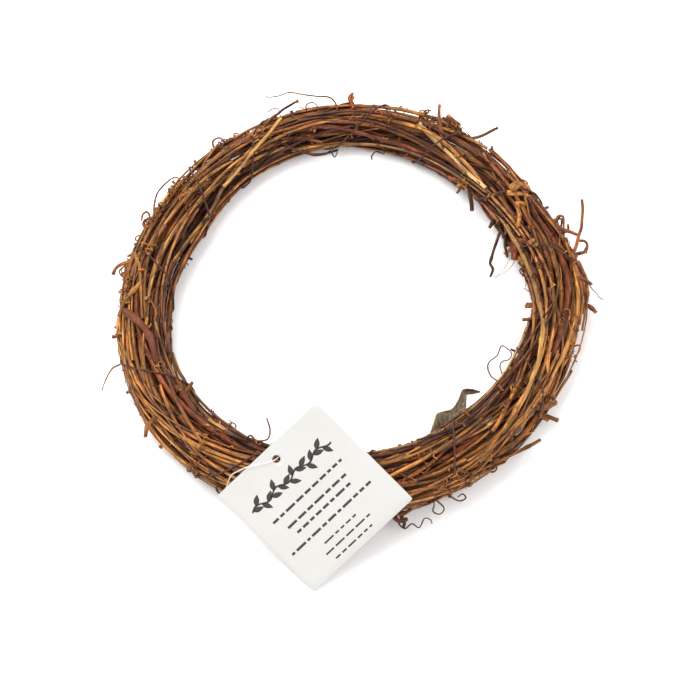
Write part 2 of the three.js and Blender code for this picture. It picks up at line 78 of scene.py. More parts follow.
wireRule = {
    "crownAngles": (13, 35, 61, 85, 121, 143, 171, 206, 242, 271, 299, 331),
    "range": (-0.25, 11.5),
    "radius": 0.4,
    "gap": 0.12,
    "pointsPerTurn": 64,
    "sides": 10,
    "looseEnd": 3,
    "kink": (0.08, 9),  # how far, and from one to the next
    "rounds": 120,
    "spacing": 0.8,
    "offTable": 0.05,
}

loopTheta = 241.5

# Canes that the eye can follow: name, bark, radius, from, to and [theta, phi, distance off the bundle]
followed = (
    ("cane_straw", "tan", 0.95, 290, 560,
     ((292, 28, 0), (303, 42, 0), (322, 76, 0), (342, 96, 0), (362, 130, 0), (400, 131, 0), (434, 88, 0))),
    ("cane_olive", "brown", 1.0, 100, 400, ((105, 68, 0), (118, 101, 0), (137, 144, 0), (152, 168, 0))),
    ("cane_red", "red", 1.1, -80, 250,
     ((76, 168, 0), (90, 136, 0), (102, 107, 0), (121, 104, 0), (135, 92, 0))),
    ("cane_bark", "dark", 1.6, 150, 420,
     ((180, 64, 0), (190, 74, 0), (206, 102, 0), (222, 108, 0), (232, 118, 0))),
    ("cane_dark", "dark", 1.15, 180, 500, ((269, 156, 0), (283, 128, 0), (308, 119, 0), (331, 128, 0))),
    ("cane_bowed", "tan", 1.05, 60, 360,
     ((170, 60, 0), (180, 40, 0), (190, 6, 1.5), (200, 18, 0), (215, 40, 0))),
    ("cane_long_end", "brown", 0.95, -300, 30, ((-6, 60, 0), (5, 40, 0), (16, 30, 0), (30, 24, 0))),
    ("cane_low_end", "red", 1.0, 0, 320,
     ((276, 50, 0), (287, 41, 0), (296, 38, 0), (304, 24, 0), (312, -14, 0), (320, -12, 5))),
    ("cane_rest_north", "dark", 1.3, 20, 190,
     ((45, 266, 0), (60, 270, 0), (90, 272, 0), (120, 268, 0), (130, 266, 0))),
    ("cane_rest_west", "dark", 1.25, 130, 300, ((160, 268, 0), (170, 270, 0), (210, 272, 0), (222, 268, 0))),
    ("cane_rest_south", "dark", 1.35, 230, 400,
     ((260, 268, 0), (270, 270, 0), (300, 270, 0), (340, 271, 0), (370, 270, 0), (380, 272, 0))),
)


# A repeatable stream of numbers from 0 to 1, the same one that the part's own rule draws from
def randomStream(seed):
    state = seed

    def draw():
        nonlocal state
        word = 0xFFFFFFFF
        state = (state + 0x6D2B79F5) & word
        mixed = ((state ^ (state >> 15)) * (1 | state)) & word
        mixed = ((mixed + (((mixed ^ (mixed >> 7)) * (61 | mixed)) & word)) & word) ^ mixed
        return (mixed ^ (mixed >> 14)) / 4294967296

    return draw


# The cubic from b to c at a share t of the way, with the slopes that their neighbours a and d give
def cubic(a, b, c, d, t):
    return b + 0.5 * t * (c - a + t * (2 * a - 5 * b + 4 * c - d + t * (3 * (b - c) + d - a)))


# A closed cubic through values that stand evenly round the ring
def roundTheRing(values, theta):
    values = np.asarray(values, float)
    place = np.mod(theta, 360.0) / 360.0 * len(values)
    first = np.floor(place).astype(int)
    return cubic(*(values[(first + shift) % len(values)] for shift in (-1, 0, 1, 2)), place - first)


# The radius of the ring's centre line
def ringRadius(theta):
    return roundTheRing(ring["radii"], theta)


# The radius of the bundle of canes
def bundleRadius(theta):
    return roundTheRing(ring["bundleRadii"], theta)


# The height of the bundle's middle, which has sagged a little on to the table
def bundleMiddle(theta):
    return bundleRadius(theta) - ring["sag"]


# The point at s outwards from the ring's centre line and z above the table
def inSection(theta, s, z):
    radius = ringRadius(theta) + s
    angle = np.radians(theta)
    return np.stack([radius * np.cos(angle), radius * np.sin(angle), z + 0 * radius], -1) + ring["middle"]


# The point at phi, a distance away from the middle of the bundle
def roundTheBundle(theta, phi, distance):
    angle = np.radians(phi)
    return inSection(theta, distance * np.cos(angle), bundleMiddle(theta) + distance * np.sin(angle))


# Where points stand: theta, s outwards from the ring's centre line and height over the bundle's middle
def ringPlace(points):
    x, y = points[:, 0] - ring["middle"][0], points[:, 1] - ring["middle"][1]
    theta = np.degrees(np.arctan2(y, x)) % 360
    return theta, np.hypot(x, y) - ringRadius(theta), points[:, 2] - bundleMiddle(theta)


# How far points of a section lie out towards phi, and how far aside of that line
def alongRay(s, z, phi):
    cosine, sine = np.cos(np.radians(phi)), np.sin(np.radians(phi))
    return s * cosine + z * sine, z * cosine - s * sine


# Where a turn number of the wire stands on the ring: whole numbers are on the crown
def wireTheta(turn):
    angles = wireRule["crownAngles"]
    index = np.arange(-1, len(angles) + 2)
    crossings = np.array([angles[i % len(angles)] + 360 * (i // len(angles)) for i in index])
    return np.interp(turn, index, crossings)


# Every cane's radius, start and end, and where it would like to run
def drawCanes():
    random = randomStream(caneRule["seed"])

    def between(ends, share):
        return ends[0] * (1 - share) + ends[1] * share

    canes = [dict(zip(("name", "bark", "radius", "from", "to", "course"), row)) for row in followed]
    for i in range(caneRule["longCanes"] + caneRule["shortCanes"]):
        isLong = i < caneRule["longCanes"]
        span = between(caneRule["longSpan"] if isLong else caneRule["shortSpan"], random())
        if isLong:
            centre = 360 * random()
        else:
            centre = caneRule["shortCentre"] + caneRule["shortSpread"] * (2 * random() - 1)
        start = step * np.floor((centre - span / 2) / step + 0.5)
        canes.append({
            "name": f"cane_{i + 1:02d}",
            "bark": caneRule["barks"][i % len(caneRule["barks"])],
            "radius": between(caneRule["radii"], random() ** 1.5),
            "from": start,
            "to": start + step * np.floor(span / step + 0.5),
            "course": None,
        })
    for i, cane in enumerate(canes):
        cane["depth"] = np.sqrt((i * 7 % len(canes) + 0.5) / len(canes))
        cane["phi"] = 360 * random()
        cane["twist"] = between(caneRule["twist"], random())
        cane["phase"] = 360 * random()
        cane["growsOnwards"] = random() < 0.5
    return canes


# A cane's goal at theta: phi, share of the bundle's radius, lift and hold
def goalAt(cane, theta):
    sway = caneRule["sway"] * np.sin(np.radians(2 * theta + cane["phase"]))
    loose = 0 * theta + settling["looseHold"]
    if cane["course"] is None:
        return cane["phi"] + cane["twist"] * (theta - cane["from"]) + sway, cane["depth"], 0 * theta, loose
    angles, phis, lifts = np.array(cane["course"], float).T
    inside = (theta >= angles[0]) & (theta <= angles[-1])
    end = np.where(theta < angles[0], 0, len(angles) - 1)
    beyond = theta - angles[end]
    dive = np.minimum(np.abs(beyond) / caneRule["dive"], 1)
    phi = np.where(inside, np.interp(theta, angles, phis), phis[end] + cane["twist"] * beyond)
    depth = np.where(inside, 1, 1 - dive + cane["depth"] * dive)
    lift = np.where(inside, np.interp(theta, angles, lifts), 0)
    return phi, depth, lift, np.where(inside, settling["firmHold"], loose)


# Canes are lifted where the wire, or the card's loop, passes under them
def isOverWire(theta):
    turns = np.arange(len(wireRule["crownAngles"])) + 0.5
    undersides = np.append(wireTheta(turns), loopTheta)
    away = np.abs(undersides - theta[:, None]) % 360
    return (np.minimum(away, 360 - away) < settling["underWire"]).any(1)


# The state of each cane in each section of the ring: not a number where it doesn't pass
def placeCanes(canes):
    rows = {key: np.full((len(canes), ring["sections"]), np.nan)
            for key in ("s", "z", "goalS", "goalZ", "radius", "reach", "hold", "floor")}
    for i, cane in enumerate(canes):
        steps = int(round((cane["to"] - cane["from"]) / step))
        theta = cane["from"] + step * np.arange(steps + 1)
        slot = np.round(theta / step).astype(int) % ring["sections"]
        share = np.arange(steps + 1) / steps
        share = share if cane["growsOnwards"] else 1 - share
        phi, depth, lift, hold = goalAt(cane, theta)
        radius = cane["radius"] * (1 - share + caneRule["tipShare"] * share)
        reach = bundleRadius(theta) - radius + lift
        floor = np.where(isOverWire(slot * step), radius + settling["wireRoom"],
                         settling["restShare"] * radius)
        goalS = depth * reach * np.cos(np.radians(phi))
        goalZ = bundleMiddle(theta) + depth * reach * np.sin(np.radians(phi))
        values = (goalS, np.maximum(goalZ, floor), goalS, goalZ, radius, reach, hold, floor)
        for key, value in zip(rows, values):
            rows[key][i, slot] = value
    return rows


# What takes the moving canes apart from all canes, at a share of the way from one section to the next.
# Where two change sides on the way, one goes over the other, so they part in and out.
def partingMoves(rows, movers, share, gap):
    here = {key: rows[key] for key in ("s", "z", "radius")}
    there = {key: np.roll(value, -1, 1) if share else value for key, value in here.items()}
    near, far = 1 - share, share
    nearS, nearZ = (here[key][None] - here[key][movers][:, None] for key in ("s", "z"))
    farS, farZ = (there[key][None] - there[key][movers][:, None] for key in ("s", "z"))
    ds, dz = near * nearS + far * farS, near * nearZ + far * farZ
    thick = near * here["radius"] + far * there["radius"]
    distance = np.sqrt(ds * ds + dz * dz)
    overlap = caneRule["slantShare"] * (thick[None] + thick[movers][:, None] + gap) - distance
    order = np.arange(len(here["s"]))
    overlap[order[None] == movers[:, None]] = 0
    length = np.maximum(distance, 0.01)
    alongS, alongZ = ds / length, dz / length
    sums = {key: here[key] + there[key] for key in ("s", "z")}
    middle = bundleMiddle((np.arange(ring["sections"]) + share) * step)
    outS = sums["s"][None] + sums["s"][movers][:, None]
    outZ = sums["z"][None] + sums["z"][movers][:, None] - 4 * middle
    side = (movers[:, None] - order[None])[:, :, None] * 0.001 + outS * ds + outZ * dz
    outLength = np.where(side < 0, -1, 1) * np.maximum(np.sqrt(outS * outS + outZ * outZ), 0.01)
    crosses = nearS * farS + nearZ * farZ < 0
    amount = np.where(overlap > 0, settling["push"] * overlap, 0)
    moves = []
    for along, out in ((alongS, outS), (alongZ, outZ)):
        direction = np.where(crosses, out / outLength, along)
        push = np.where(amount > 0, amount * direction, 0).sum(1)
        moves.append(-near * push - np.roll(far * push, 1, 1) if share else -push)
    return moves


# Lets the moving canes settle: each is drawn to its goal, kept from kinking and pushed off its neighbours
def settle(rows, movers, rounds, gap):
    middle = bundleMiddle(np.arange(ring["sections"]) * step)
    for count in range(rounds):
        ease = 1 - count / rounds
        moves = {}
        for key, goal in (("s", "goalS"), ("z", "goalZ")):
            now = rows[key][movers]
            moves[key] = ease * rows["hold"][movers] * (rows[goal][movers] - now)
            between = (np.roll(now, 1, 1) + np.roll(now, -1, 1)) / 2
            moves[key] += np.where(np.isnan(between), 0, ease * settling["stiffness"] * (between - now))
        for share in (0, 0.5):
            apart = partingMoves(rows, movers, share, gap)
            moves["s"], moves["z"] = moves["s"] + apart[0], moves["z"] + apart[1]
        s, z = rows["s"][movers] + moves["s"], rows["z"][movers] + moves["z"]
        shrink = np.minimum(1, rows["reach"][movers] / np.maximum(np.hypot(s, z - middle), 0.001))
        rows["s"][movers] = shrink * s
        rows["z"][movers] = np.maximum(middle + shrink * (z - middle), rows["floor"][movers])


# Thin canes that fill in between the part's own: drawn evenly round the ring, mostly on its outside.
# Every so many of them is a short stray piece that crosses the others at a steep slant.
thinRule = {
    "seed": 23,
    "count": 112,
    "radii": (0.4, 0.95),
    "span": (40, 150),
    "twist": 1.8,
    "strayEvery": 2,
    "straySpan": (18, 55),
    "strayTwist": (1.8, 5.0),
    "gap": 0.02,
    "rounds": 150,
    "proud": 0.5,  # how far they may stand off the bundle
    "strayProud": 1.5,
    "inner": 0.7,  # every fourth of them runs at this share of the bundle's radius
    "fillTwist": 0.4,
    "fillRadius": 0.75,
    # theta, phi and span of the pieces that close gaps
    "fill": ((22, 10, 60), (16, 35, 50), (28, -10, 50), (233, 180, 60), (238, 160, 50), (286, 120, 60),
             (112, 95, 50), (136, 165, 50), (186, 190, 80), (208, 192, 60), (165, 186, 60)),
}


# Their radii, starts and ends, and where they would like to run
def drawThinCanes():
    rng = np.random.default_rng(thinRule["seed"])
    made = []
    for i in range(thinRule["count"]):
        isStray = i % thinRule["strayEvery"] == 0
        span = rng.uniform(*thinRule["straySpan" if isStray else "span"])
        start = step * round((360 * (i + rng.uniform(0, 1)) / thinRule["count"] - span / 2) / step)
        twist = rng.uniform(*thinRule["strayTwist"]) * rng.choice([-1, 1])
        made.append({
            "name": f"thin_{i + 1:02d}",
            "bark": caneRule["barks"][i % len(caneRule["barks"])],
            "radius": rng.uniform(*thinRule["radii"]),
            "from": start,
            "to": start + step * max(2, round(span / step)),
            "course": None,
            "depth": 1.0 if i % 4 else thinRule["inner"],
            "phi": rng.uniform(20, 160) if isStray else rng.uniform(-40, 220),
            "twist": twist if isStray else rng.uniform(-1, 1) * thinRule["twist"],
            "phase": rng.uniform(0, 360),
            "growsOnwards": rng.random() < 0.5,
            "proud": thinRule["strayProud" if isStray else "proud"],
        })
    for i, (theta, phi, span) in enumerate(thinRule["fill"]):
        start = step * round((theta - span / 2) / step)
        made[2 * i + 1].update({
            "from": start,
            "to": start + step * round(span / step),
            "phi": phi,
            "depth": 1.0,
            "twist": thinRule["fillTwist"],
            "radius": thinRule["fillRadius"],
        })
    return made


canes = drawCanes()
rows = placeCanes(canes)
thinCanes = drawThinCanes()
with np.errstate(all="ignore"):
    settle(rows, np.arange(len(canes)), settling["rounds"], caneRule["gap"])
    thinRows = placeCanes(thinCanes)
    thinRows["reach"] += np.array([cane["proud"] for cane in thinCanes])[:, None]
    rows = {key: np.vstack([rows[key], thinRows[key]]) for key in rows}
    movers = len(canes) + np.arange(len(thinCanes))
    settle(rows, movers, thinRule["rounds"], thinRule["gap"])
print("canes settled:", len(canes), "and", len(thinCanes), "thin ones")


# A cubic through the rows of a table, read at places where whole numbers are rows
def smooth(table, places):
    table = np.asarray(table, float)
    padded = np.concatenate([2 * table[:1] - table[1:2], table, 2 * table[-1:] - table[-2:-1]])
    first = np.clip(np.floor(places).astype(int), 0, len(table) - 2)
    t = (places - first).reshape((-1,) + (1,) * (table.ndim - 1))
    return cubic(*(padded[first + shift] for shift in range(4)), t)


# Smooth random values from about -1 to 1 along a length, with a new one every so many millimetres
def waver(rng, lengths, wave, columns=1):
    knots = rng.uniform(-1, 1, (int(lengths[-1] / wave) + 3, columns))
    values = smooth(knots, lengths / wave + 1)
    return values if columns > 1 else values[:, 0]


# Vectors brought to length 1
def unit(vectors):
    return vectors / np.maximum(np.linalg.norm(vectors, axis=-1, keepdims=True), 1e-9)


# The length of a path up to each of its points
def lengthsAlong(points):
    return np.concatenate([[0], np.cumsum(np.linalg.norm(np.diff(points, axis=0), axis=1))])


# Points at even distances along a smooth line through a few points
def evenly(points, spacing, fine=24):
    line = smooth(points, np.linspace(0, len(points) - 1, (len(points) - 1) * fine + 1))
    lengths = lengthsAlong(line)
    count = max(4, int(np.ceil(lengths[-1] / spacing)) + 1)
    places = np.linspace(0, lengths[-1], count)
    return np.stack([np.interp(places, lengths, line[:, k]) for k in range(line.shape[1])], -1)


# Colours in sRGB, as a painter would mix them, for the middle tone of each kind of bark
palette = {
    "honey": (248, 212, 156),
    "straw": (226, 178, 110),
    "gold": (206, 146, 82),
    "olive": (172, 134, 78),
    "orange": (174, 104, 54),
    "brown": (132, 82, 46),
    "rust": (134, 66, 38),
    "russet": (116, 60, 38),
    "mauve": (104, 60, 46),
    "dark": (72, 44, 32),
    "wood": (196, 150, 98),
    "grey": (122, 106, 92),
}
paint = {name: (np.array(tone) / 255.0) ** 2.2 * (0.72, 0.635, 0.51) for name, tone in palette.items()}

barkTones = {
    "tan": ("gold", "gold", "straw", "orange"),
    "brown": ("brown", "orange", "gold", "brown"),
    "red": ("rust", "orange", "rust", "mauve"),
    "dark": ("dark", "mauve", "brown", "dark"),
}

# What most canes look like on the outer and the inner side, every 30 degrees round the ring. The inner side's
# darker tones are partly painted shade and partly the bark's own colour.
sideTones = {
    "outer": ("gold", "brown", "brown", "orange", "gold", "gold", "gold", "gold", "gold", "orange", "gold",
              "gold"),
    "inner": ("brown", "brown", "mauve", "mauve", "mauve", "mauve", "mauve", "brown", "brown", "brown",
              "dark", "brown"),
}


# The inner tones take over across a width, a share of them is there on the centre line, and the tone
# wavers along a piece but stays above the darkest
toneRule = {"width": 10, "onTheLine": 0.35, "waver": 0.36, "darkest": 0.003}


# The bark colour of points on one cane: its own tone, drawn towards that of its place on the ring, whose
# darker inner side is partly painted shade
def barkColour(points, tone, rng, pull=0.34, patch=16):
    theta, s, _ = ringPlace(points)
    inside = np.clip(-s / toneRule["width"] + toneRule["onTheLine"], 0, 1)[:, None]
    place = theta / 30
    first, t = np.floor(place).astype(int) % 12, (place % 1)[:, None]
    sides = []
    for side in ("outer", "inner"):
        tones = np.array([paint[name] for name in sideTones[side]])
        sides.append(tones[first] * (1 - t) + tones[(first + 1) % 12] * t)
    local = sides[0] * (1 - inside) + sides[1] * inside
    shift = 1 + toneRule["waver"] * waver(rng, lengthsAlong(points), patch)
    return np.clip((tone * (1 - pull) + local * pull) * shift[:, None], toneRule["darkest"], 1)


# One of several tones
def anyTone(rng, names):
    return paint[names[rng.integers(len(names))]]


tubeRule = {
    "inset": 0.25,  # how far each cap stands out, as a share of the radius
    "cap": (0.45, 0.82),  # radii of a cap's rings, as shares of it
    "ridges": ((3, 4, 1.0), (5, 5, 0.8), (1, 3, 1.2)),  # waves round the tube, how far they drift, and weight
    "ridgeDrift": 9,
}
# Side vectors to choose from: the one that the path runs along the least keeps a tube from twisting
sideChoices = unit(np.array([[0, 0, 1], [1, 0, 0], [0, 1, 0], [1, 1, 1], [1, -1, 1], [-1, 1, 1], [1, 1, -1],
                             [0, 1, 1], [0, -1, 1], [1, 0, 1], [-1, 0, 1]], float))


# A closed tube: round each point of a path, the circle across it with the radius there. Ridges add
# waves to the circle that drift along the path, flat squashes it along the side vector, and each end
# is a chamfered cap, in the tone of cut wood where one is given.
def tube(points, radii, sides, colours, rng, ridges=0.0, flat=1.0, side=None, endTone=None):
    points, radii = np.asarray(points, float), np.asarray(radii, float)
    tangents = unit(np.gradient(points, axis=0))
    if side is None:
        side = sideChoices[np.argmin(np.abs(tangents @ sideChoices.T).max(0))]
    normals = unit(side - (tangents @ side)[:, None] * tangents)
    across = np.cross(tangents, normals)
    lengths = lengthsAlong(points)
    inset = tubeRule["inset"] * radii[[0, -1]]
    ends = [points[:1] - tangents[:1] * inset[0], points[-1:] + tangents[-1:] * inset[1]]
    points = np.concatenate([ends[0], ends[0], points, ends[1], ends[1]])
    scale = np.concatenate([tubeRule["cap"], np.ones(len(radii)), tubeRule["cap"][::-1]])
    spread = np.concatenate([[0, 0], np.arange(len(radii)), [len(radii) - 1] * 2])
    angles = (np.arange(sides) + 0.5) / sides * 2 * np.pi
    wave = np.ones((len(points), sides))
    if ridges:
        drift = waver(rng, lengths, tubeRule["ridgeDrift"], 4)[spread]
        wave += ridges * sum(weight * np.sin(around * angles + swing * drift[:, k:k + 1])
                             for k, (around, swing, weight) in enumerate(tubeRule["ridges"]))
    reach = (radii[spread] * scale)[:, None] * wave
    ringsX, ringsY = reach * np.cos(angles) * flat, reach * np.sin(angles)
    verts = (points[:, None] + ringsX[:, :, None] * normals[spread][:, None]
             + ringsY[:, :, None] * across[spread][:, None])
    verts[:, :, 2] = np.maximum(verts[:, :, 2], 0)
    count = len(points)
    grain = np.stack([ringsX, ringsY, np.broadcast_to(lengths[spread][:, None], ringsX.shape)], -1)
    colours = np.broadcast_to(colours, (len(radii), 3))[spread].copy()
    if endTone is not None:
        colours[[0, 1, -2, -1]] = endTone
    bark = np.repeat(colours[:, None], sides, 1)
    j, i = np.meshgrid(np.arange(count - 1), np.arange(sides), indexing="ij")
    a, b = j * sides + i, j * sides + (i + 1) % sides
    quads = np.stack([a, b, b + sides, a + sides], -1).reshape(-1, 4)
    around = np.arange(sides)
    onwards = (around + 1) % sides
    last = (count - 1) * sides
    centres = count * sides
    tris = np.concatenate([np.stack([onwards, around, 0 * around + centres], -1),
                           np.stack([last + around, last + onwards, 0 * around + centres + 1], -1)])
    verts = np.concatenate([verts.reshape(-1, 3), points[[0, -1]]])
    grain = np.concatenate([grain.reshape(-1, 3), [[0, 0, 0], [0, 0, lengths[-1]]]])
    bark = np.concatenate([bark.reshape(-1, 3), colours[[0, -1]]])
    return {"verts": verts, "quads": quads, "tris": tris, "grain": grain, "bark": bark}


# One Blender mesh from closed parts, in metres, with the grain and bark attributes that materials read
def makePiece(name, parts, material, slot, *nodes):
    parts = [parts] if isinstance(parts, dict) else parts
    starts = np.cumsum([0] + [len(part["verts"]) for part in parts])
    verts = np.concatenate([part["verts"] for part in parts]) / metre
    quads = np.concatenate([part["quads"] + start for part, start in zip(parts, starts)])
    tris = np.concatenate([part["tris"] + start for part, start in zip(parts, starts)])
    mesh = bpy.data.meshes.new(name)
    mesh.vertices.add(len(verts))
    mesh.vertices.foreach_set("co", verts.astype(np.float32).ravel())
    mesh.loops.add(quads.size + tris.size)
    mesh.loops.foreach_set("vertex_index", np.concatenate([quads.ravel(), tris.ravel()]).astype(np.int32))
    mesh.polygons.add(len(quads) + len(tris))
    sizes = np.concatenate([np.full(len(quads), 4), np.full(len(tris), 3)])
    mesh.polygons.foreach_set("loop_start", (np.cumsum(sizes) - sizes).astype(np.int32))
    mesh.polygons.foreach_set("use_smooth", np.ones(len(sizes), bool))
    mesh.update(calc_edges=True)
    grain = np.concatenate([part["grain"] for part in parts])
    mesh.attributes.new("grain", "FLOAT_VECTOR", "POINT").data.foreach_set("vector", grain.ravel())
    bark = np.concatenate([part["bark"] for part in parts])
    bark = np.concatenate([bark, np.ones((len(bark), 1))], 1)
    mesh.attributes.new("bark", "FLOAT_COLOR", "POINT").data.foreach_set("color", bark.ravel())
    mesh.materials.append(material)
    piece = bpy.data.objects.new(name, mesh)
    bpy.context.scene.collection.objects.link(piece)
    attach(piece, "root")
    if nodes:
        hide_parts(*nodes)


# A new material, with add to make a node for it and give to fill its shader's inputs. An input is named,
# with _ for a space, or numbered as in _6, and it takes a value or a link.
def newMaterial(name):
    material = bpy.data.materials.new(name)
    material.use_nodes = True
    nodes, links = material.node_tree.nodes, material.node_tree.links
    shader = next(node for node in nodes if node.type == "BSDF_PRINCIPLED")

    def fill(node, inputs):
        for key, value in inputs.items():
            socket = node.inputs[int(key[1:]) if key[1:].isdigit() else key.replace("_", " ")]
            if isinstance(value, bpy.types.NodeSocket):
                links.new(value, socket)
            else:
                socket.default_value = value
        return node

    def add(kind, settings=(), **inputs):
        node = nodes.new("ShaderNode" + kind)
        for key, value in dict(settings).items():
            setattr(node, key, value)
        return fill(node, inputs)

    return material, add, lambda **inputs: fill(shader, inputs)


# The piece's colour attribute, which on the canes carries painted crevice shade
def ownColour(add):
    return add("Attribute", {"attribute_name": "bark"}).outputs["Color"]


# The place across and along the piece's grain
def grainPlace(add):
    return add("Attribute", {"attribute_name": "grain"}).outputs["Vector"]


# Noise at places that may be stretched first
def noise(add, places, scale, detail, roughness, stretch=None):
    if stretch is not None:
        places = add("Mapping", Vector=places, Scale=stretch).outputs[0]
    return add("TexNoise", Vector=places, Scale=scale, Detail=detail, Roughness=roughness).outputs["Fac"]


# Tones for a value, from stops of a place and the tone there
def ramp(add, value, *stops):
    node = add("ValToRGB", Fac=value)
    elements = node.color_ramp.elements
    while len(elements) < len(stops):
        elements.new(0.5)
    for element, (place, tone) in zip(elements, stops):
        element.position = place
        element.color = (*np.broadcast_to(tone, 3), 1)
    return node.outputs[0]


# The product of tones
def product(add, tone, *others):
    multiply = {"data_type": "RGBA", "blend_type": "MULTIPLY"}
    for other in others:
        tone = add("Mix", multiply, _0=1.0, _6=tone, _7=other).outputs[2]
    return tone


# A value from 0 to 1 spread between two ends
def spreadOut(add, value, low, high):
    return add("MapRange", Value=value, _3=low, _4=high).outputs[0]


# Bumps of a height in metres
def bumps(add, value, strength, height):
    return add("Bump", Height=value, Strength=strength, Distance=height).outputs[0]


# Bark: the piece's colour, on canes with painted crevice shade, times long streaks, fine threads and patches,
# with stringy bumps
barkLook = {
    "streaks": (2.2, 2.2, 0.1),
    "threads": (6.0, 6.0, 0.4),
    "patches": 0.11,
    "dark": 0.2,
    "light": 1.95,
    "roughness": (0.4, 0.75),
    "bump": 0.7,
}


def barkMaterial(name, look):
    material, add, give = newMaterial(name)
    grain = grainPlace(add)
    streaks = noise(add, grain, 1.0, 4.0, 0.6, look["streaks"])
    threads = noise(add, grain, 1.0, 3.0, 0.65, look["threads"])
    patches = noise(add, grain, look["patches"], 3.0, 0.5)
    tone = ramp(add, streaks, (0.34, look["dark"]), (0.44, 0.62), (0.54, 1.0), (0.68, look["light"]))
    fine = ramp(add, threads, (0.34, 0.5), (0.5, 1.0), (0.66, 1.35))
    spots = ramp(add, patches, (0.34, (0.5, 0.42, 0.4)), (0.5, 1.0), (0.68, (1.3, 1.24, 1.08)))
    height = add("Math", {"operation": "MULTIPLY_ADD"}, _0=threads, _1=0.5, _2=streaks).outputs[0]
    smoothest, roughest = look["roughness"]
    give(Base_Color=product(add, ownColour(add), tone, fine, spots),
         Roughness=spreadOut(add, streaks, roughest, smoothest),
         Normal=bumps(add, height, look["bump"], 0.0003),
         Specular_IOR_Level=0.3)
    return material


barks = {
    "tan": barkMaterial("bark_tan", barkLook),
    "brown": barkMaterial("bark_brown", {**barkLook, "streaks": (2.5, 2.5, 0.14), "light": 1.6}),
    "red": barkMaterial("bark_red", {**barkLook, "roughness": (0.3, 0.6), "bump": 0.5}),
    "dark": barkMaterial("bark_dark", {**barkLook, "streaks": (2.9, 2.9, 0.18), "bump": 1.0, "dark": 0.16}),
}
straw = barkMaterial("straw_bark", {**barkLook, "dark": 0.6, "light": 1.35, "patches": 0.05})
twig = barkMaterial("twig_bark", {**barkLook, "streaks": (1.5, 1.5, 0.4), "patches": 0.2, "bump": 0.3})

caneLook = {
    "spacing": 1.15,
    "thickSides": 14,
    "thinSides": 9,
    "ridges": 0.045,
    "joints": (18, 46),  # distance from one swollen joint to the next
    "firstJoint": -30,
    "turns": (0.4, 1),  # shares of the kink that the joints turn by
    "swelling": 0.3,
    "kink": 0.55,
    "waver": (0.3, 14),  # how far, and from one to the next
    "lumps": (0.05, 17),
    "girth": 0.97,
    "lowest": 0.9,  # height of the middle over the table, as a share of the radius
    "typicalRing": 90,  # radius at which a cane's length is reckoned
    "thinSize": 0.6,  # a thin cane's kinks and wavers, as a share of a thick one's
    "jointWidth": 1.5,
    "ringDark": (0.5, 0.9),  # how much darker a joint is, and how wide that is
    "ownPull": 0.12,
    "otherPull": 0.44,
    "darkRidges": 1.8,
}


# A cane's path: a cubic through its sections, with the slight zigzag and the swollen joints of a vine
def caneCourse(index, cane, rng, isThin):
    steps = int(round((cane["to"] - cane["from"]) / step))
    slot = np.round((cane["from"] + step * np.arange(steps + 1)) / step).astype(int) % ring["sections"]
    table = np.stack([rows[key][index, slot] for key in ("s", "z", "radius")], -1)
    length = np.radians(cane["to"] - cane["from"]) * caneLook["typicalRing"]
    places = np.linspace(0, steps, int(length / caneLook["spacing"]) + 1)
    s, z, radius = smooth(table, places).T
    lengths = places / steps * length
    count = int(length / caneLook["joints"][0]) + 2
    joints = np.cumsum(rng.uniform(*caneLook["joints"], count)) + caneLook["firstJoint"]
    size = caneLook["thinSize"] if isThin else 1.0
    turns = np.where(np.arange(count) % 2, 1, -1) * rng.uniform(*caneLook["turns"], count)
    zigzag = size * caneLook["kink"] * np.interp(lengths, joints, turns)
    lean = rng.uniform(0, 2 * np.pi)
    amount, wave = caneLook["waver"]
    loose = size * amount * waver(rng, lengths, wave, 2)
    s = s + zigzag * np.cos(lean) + loose[:, 0]
    z = z + zigzag * np.sin(lean) + loose[:, 1]
    near = np.abs(lengths[:, None] - joints).min(1)
    swelling = caneLook["swelling"] * np.exp(-((near / caneLook["jointWidth"]) ** 2))
    amount, wave = caneLook["lumps"]
    radius = radius * (caneLook["girth"] + (swelling + amount * waver(rng, lengths, wave)))
    theta = cane["from"] + step * places
    z = np.maximum(z, radius * caneLook["lowest"])
    return {"theta": theta, "s": s, "z": z, "radius": radius, "near": near, "points": inSection(theta, s, z)}


courses = []
for index, cane in enumerate(canes + thinCanes):
    rng = np.random.default_rng(100 + index)
    courses.append(caneCourse(index, cane, rng, index >= len(canes)))
print("courses drawn")


# Where each cane passes each theta: s, height over the bundle's middle and radius, or not a number
def crossings(theta):
    table = np.full((3, len(courses), len(theta)), np.nan)
    for k, course in enumerate(courses):
        for turn in range(-2, 3):
            at = theta + 360 * turn
            inside = (at >= course["theta"][0]) & (at <= course["theta"][-1])
            for row, key in enumerate(("s", "z", "radius")):
                table[row, k, inside] = np.interp(at[inside], course["theta"], course[key])
    table[1] -= bundleMiddle(theta)
    return table


finePerDegree = 4
fineTheta = np.arange(0, 360, 1 / finePerDegree)
fineCrossings = crossings(fineTheta)


# The same, taken from a table with four places in each degree
def nearCrossings(theta):
    return fineCrossings[:, :, np.round(theta * finePerDegree).astype(int) % len(fineTheta)]


# Painted shade between canes: how far it reaches, its strength, the least light kept and its reddening tint
paintedCreviceShadeLook = {"reach": 2.6, "share": 0.96, "least": 0.02, "tint": (1.25, 1.42, 1.6)}
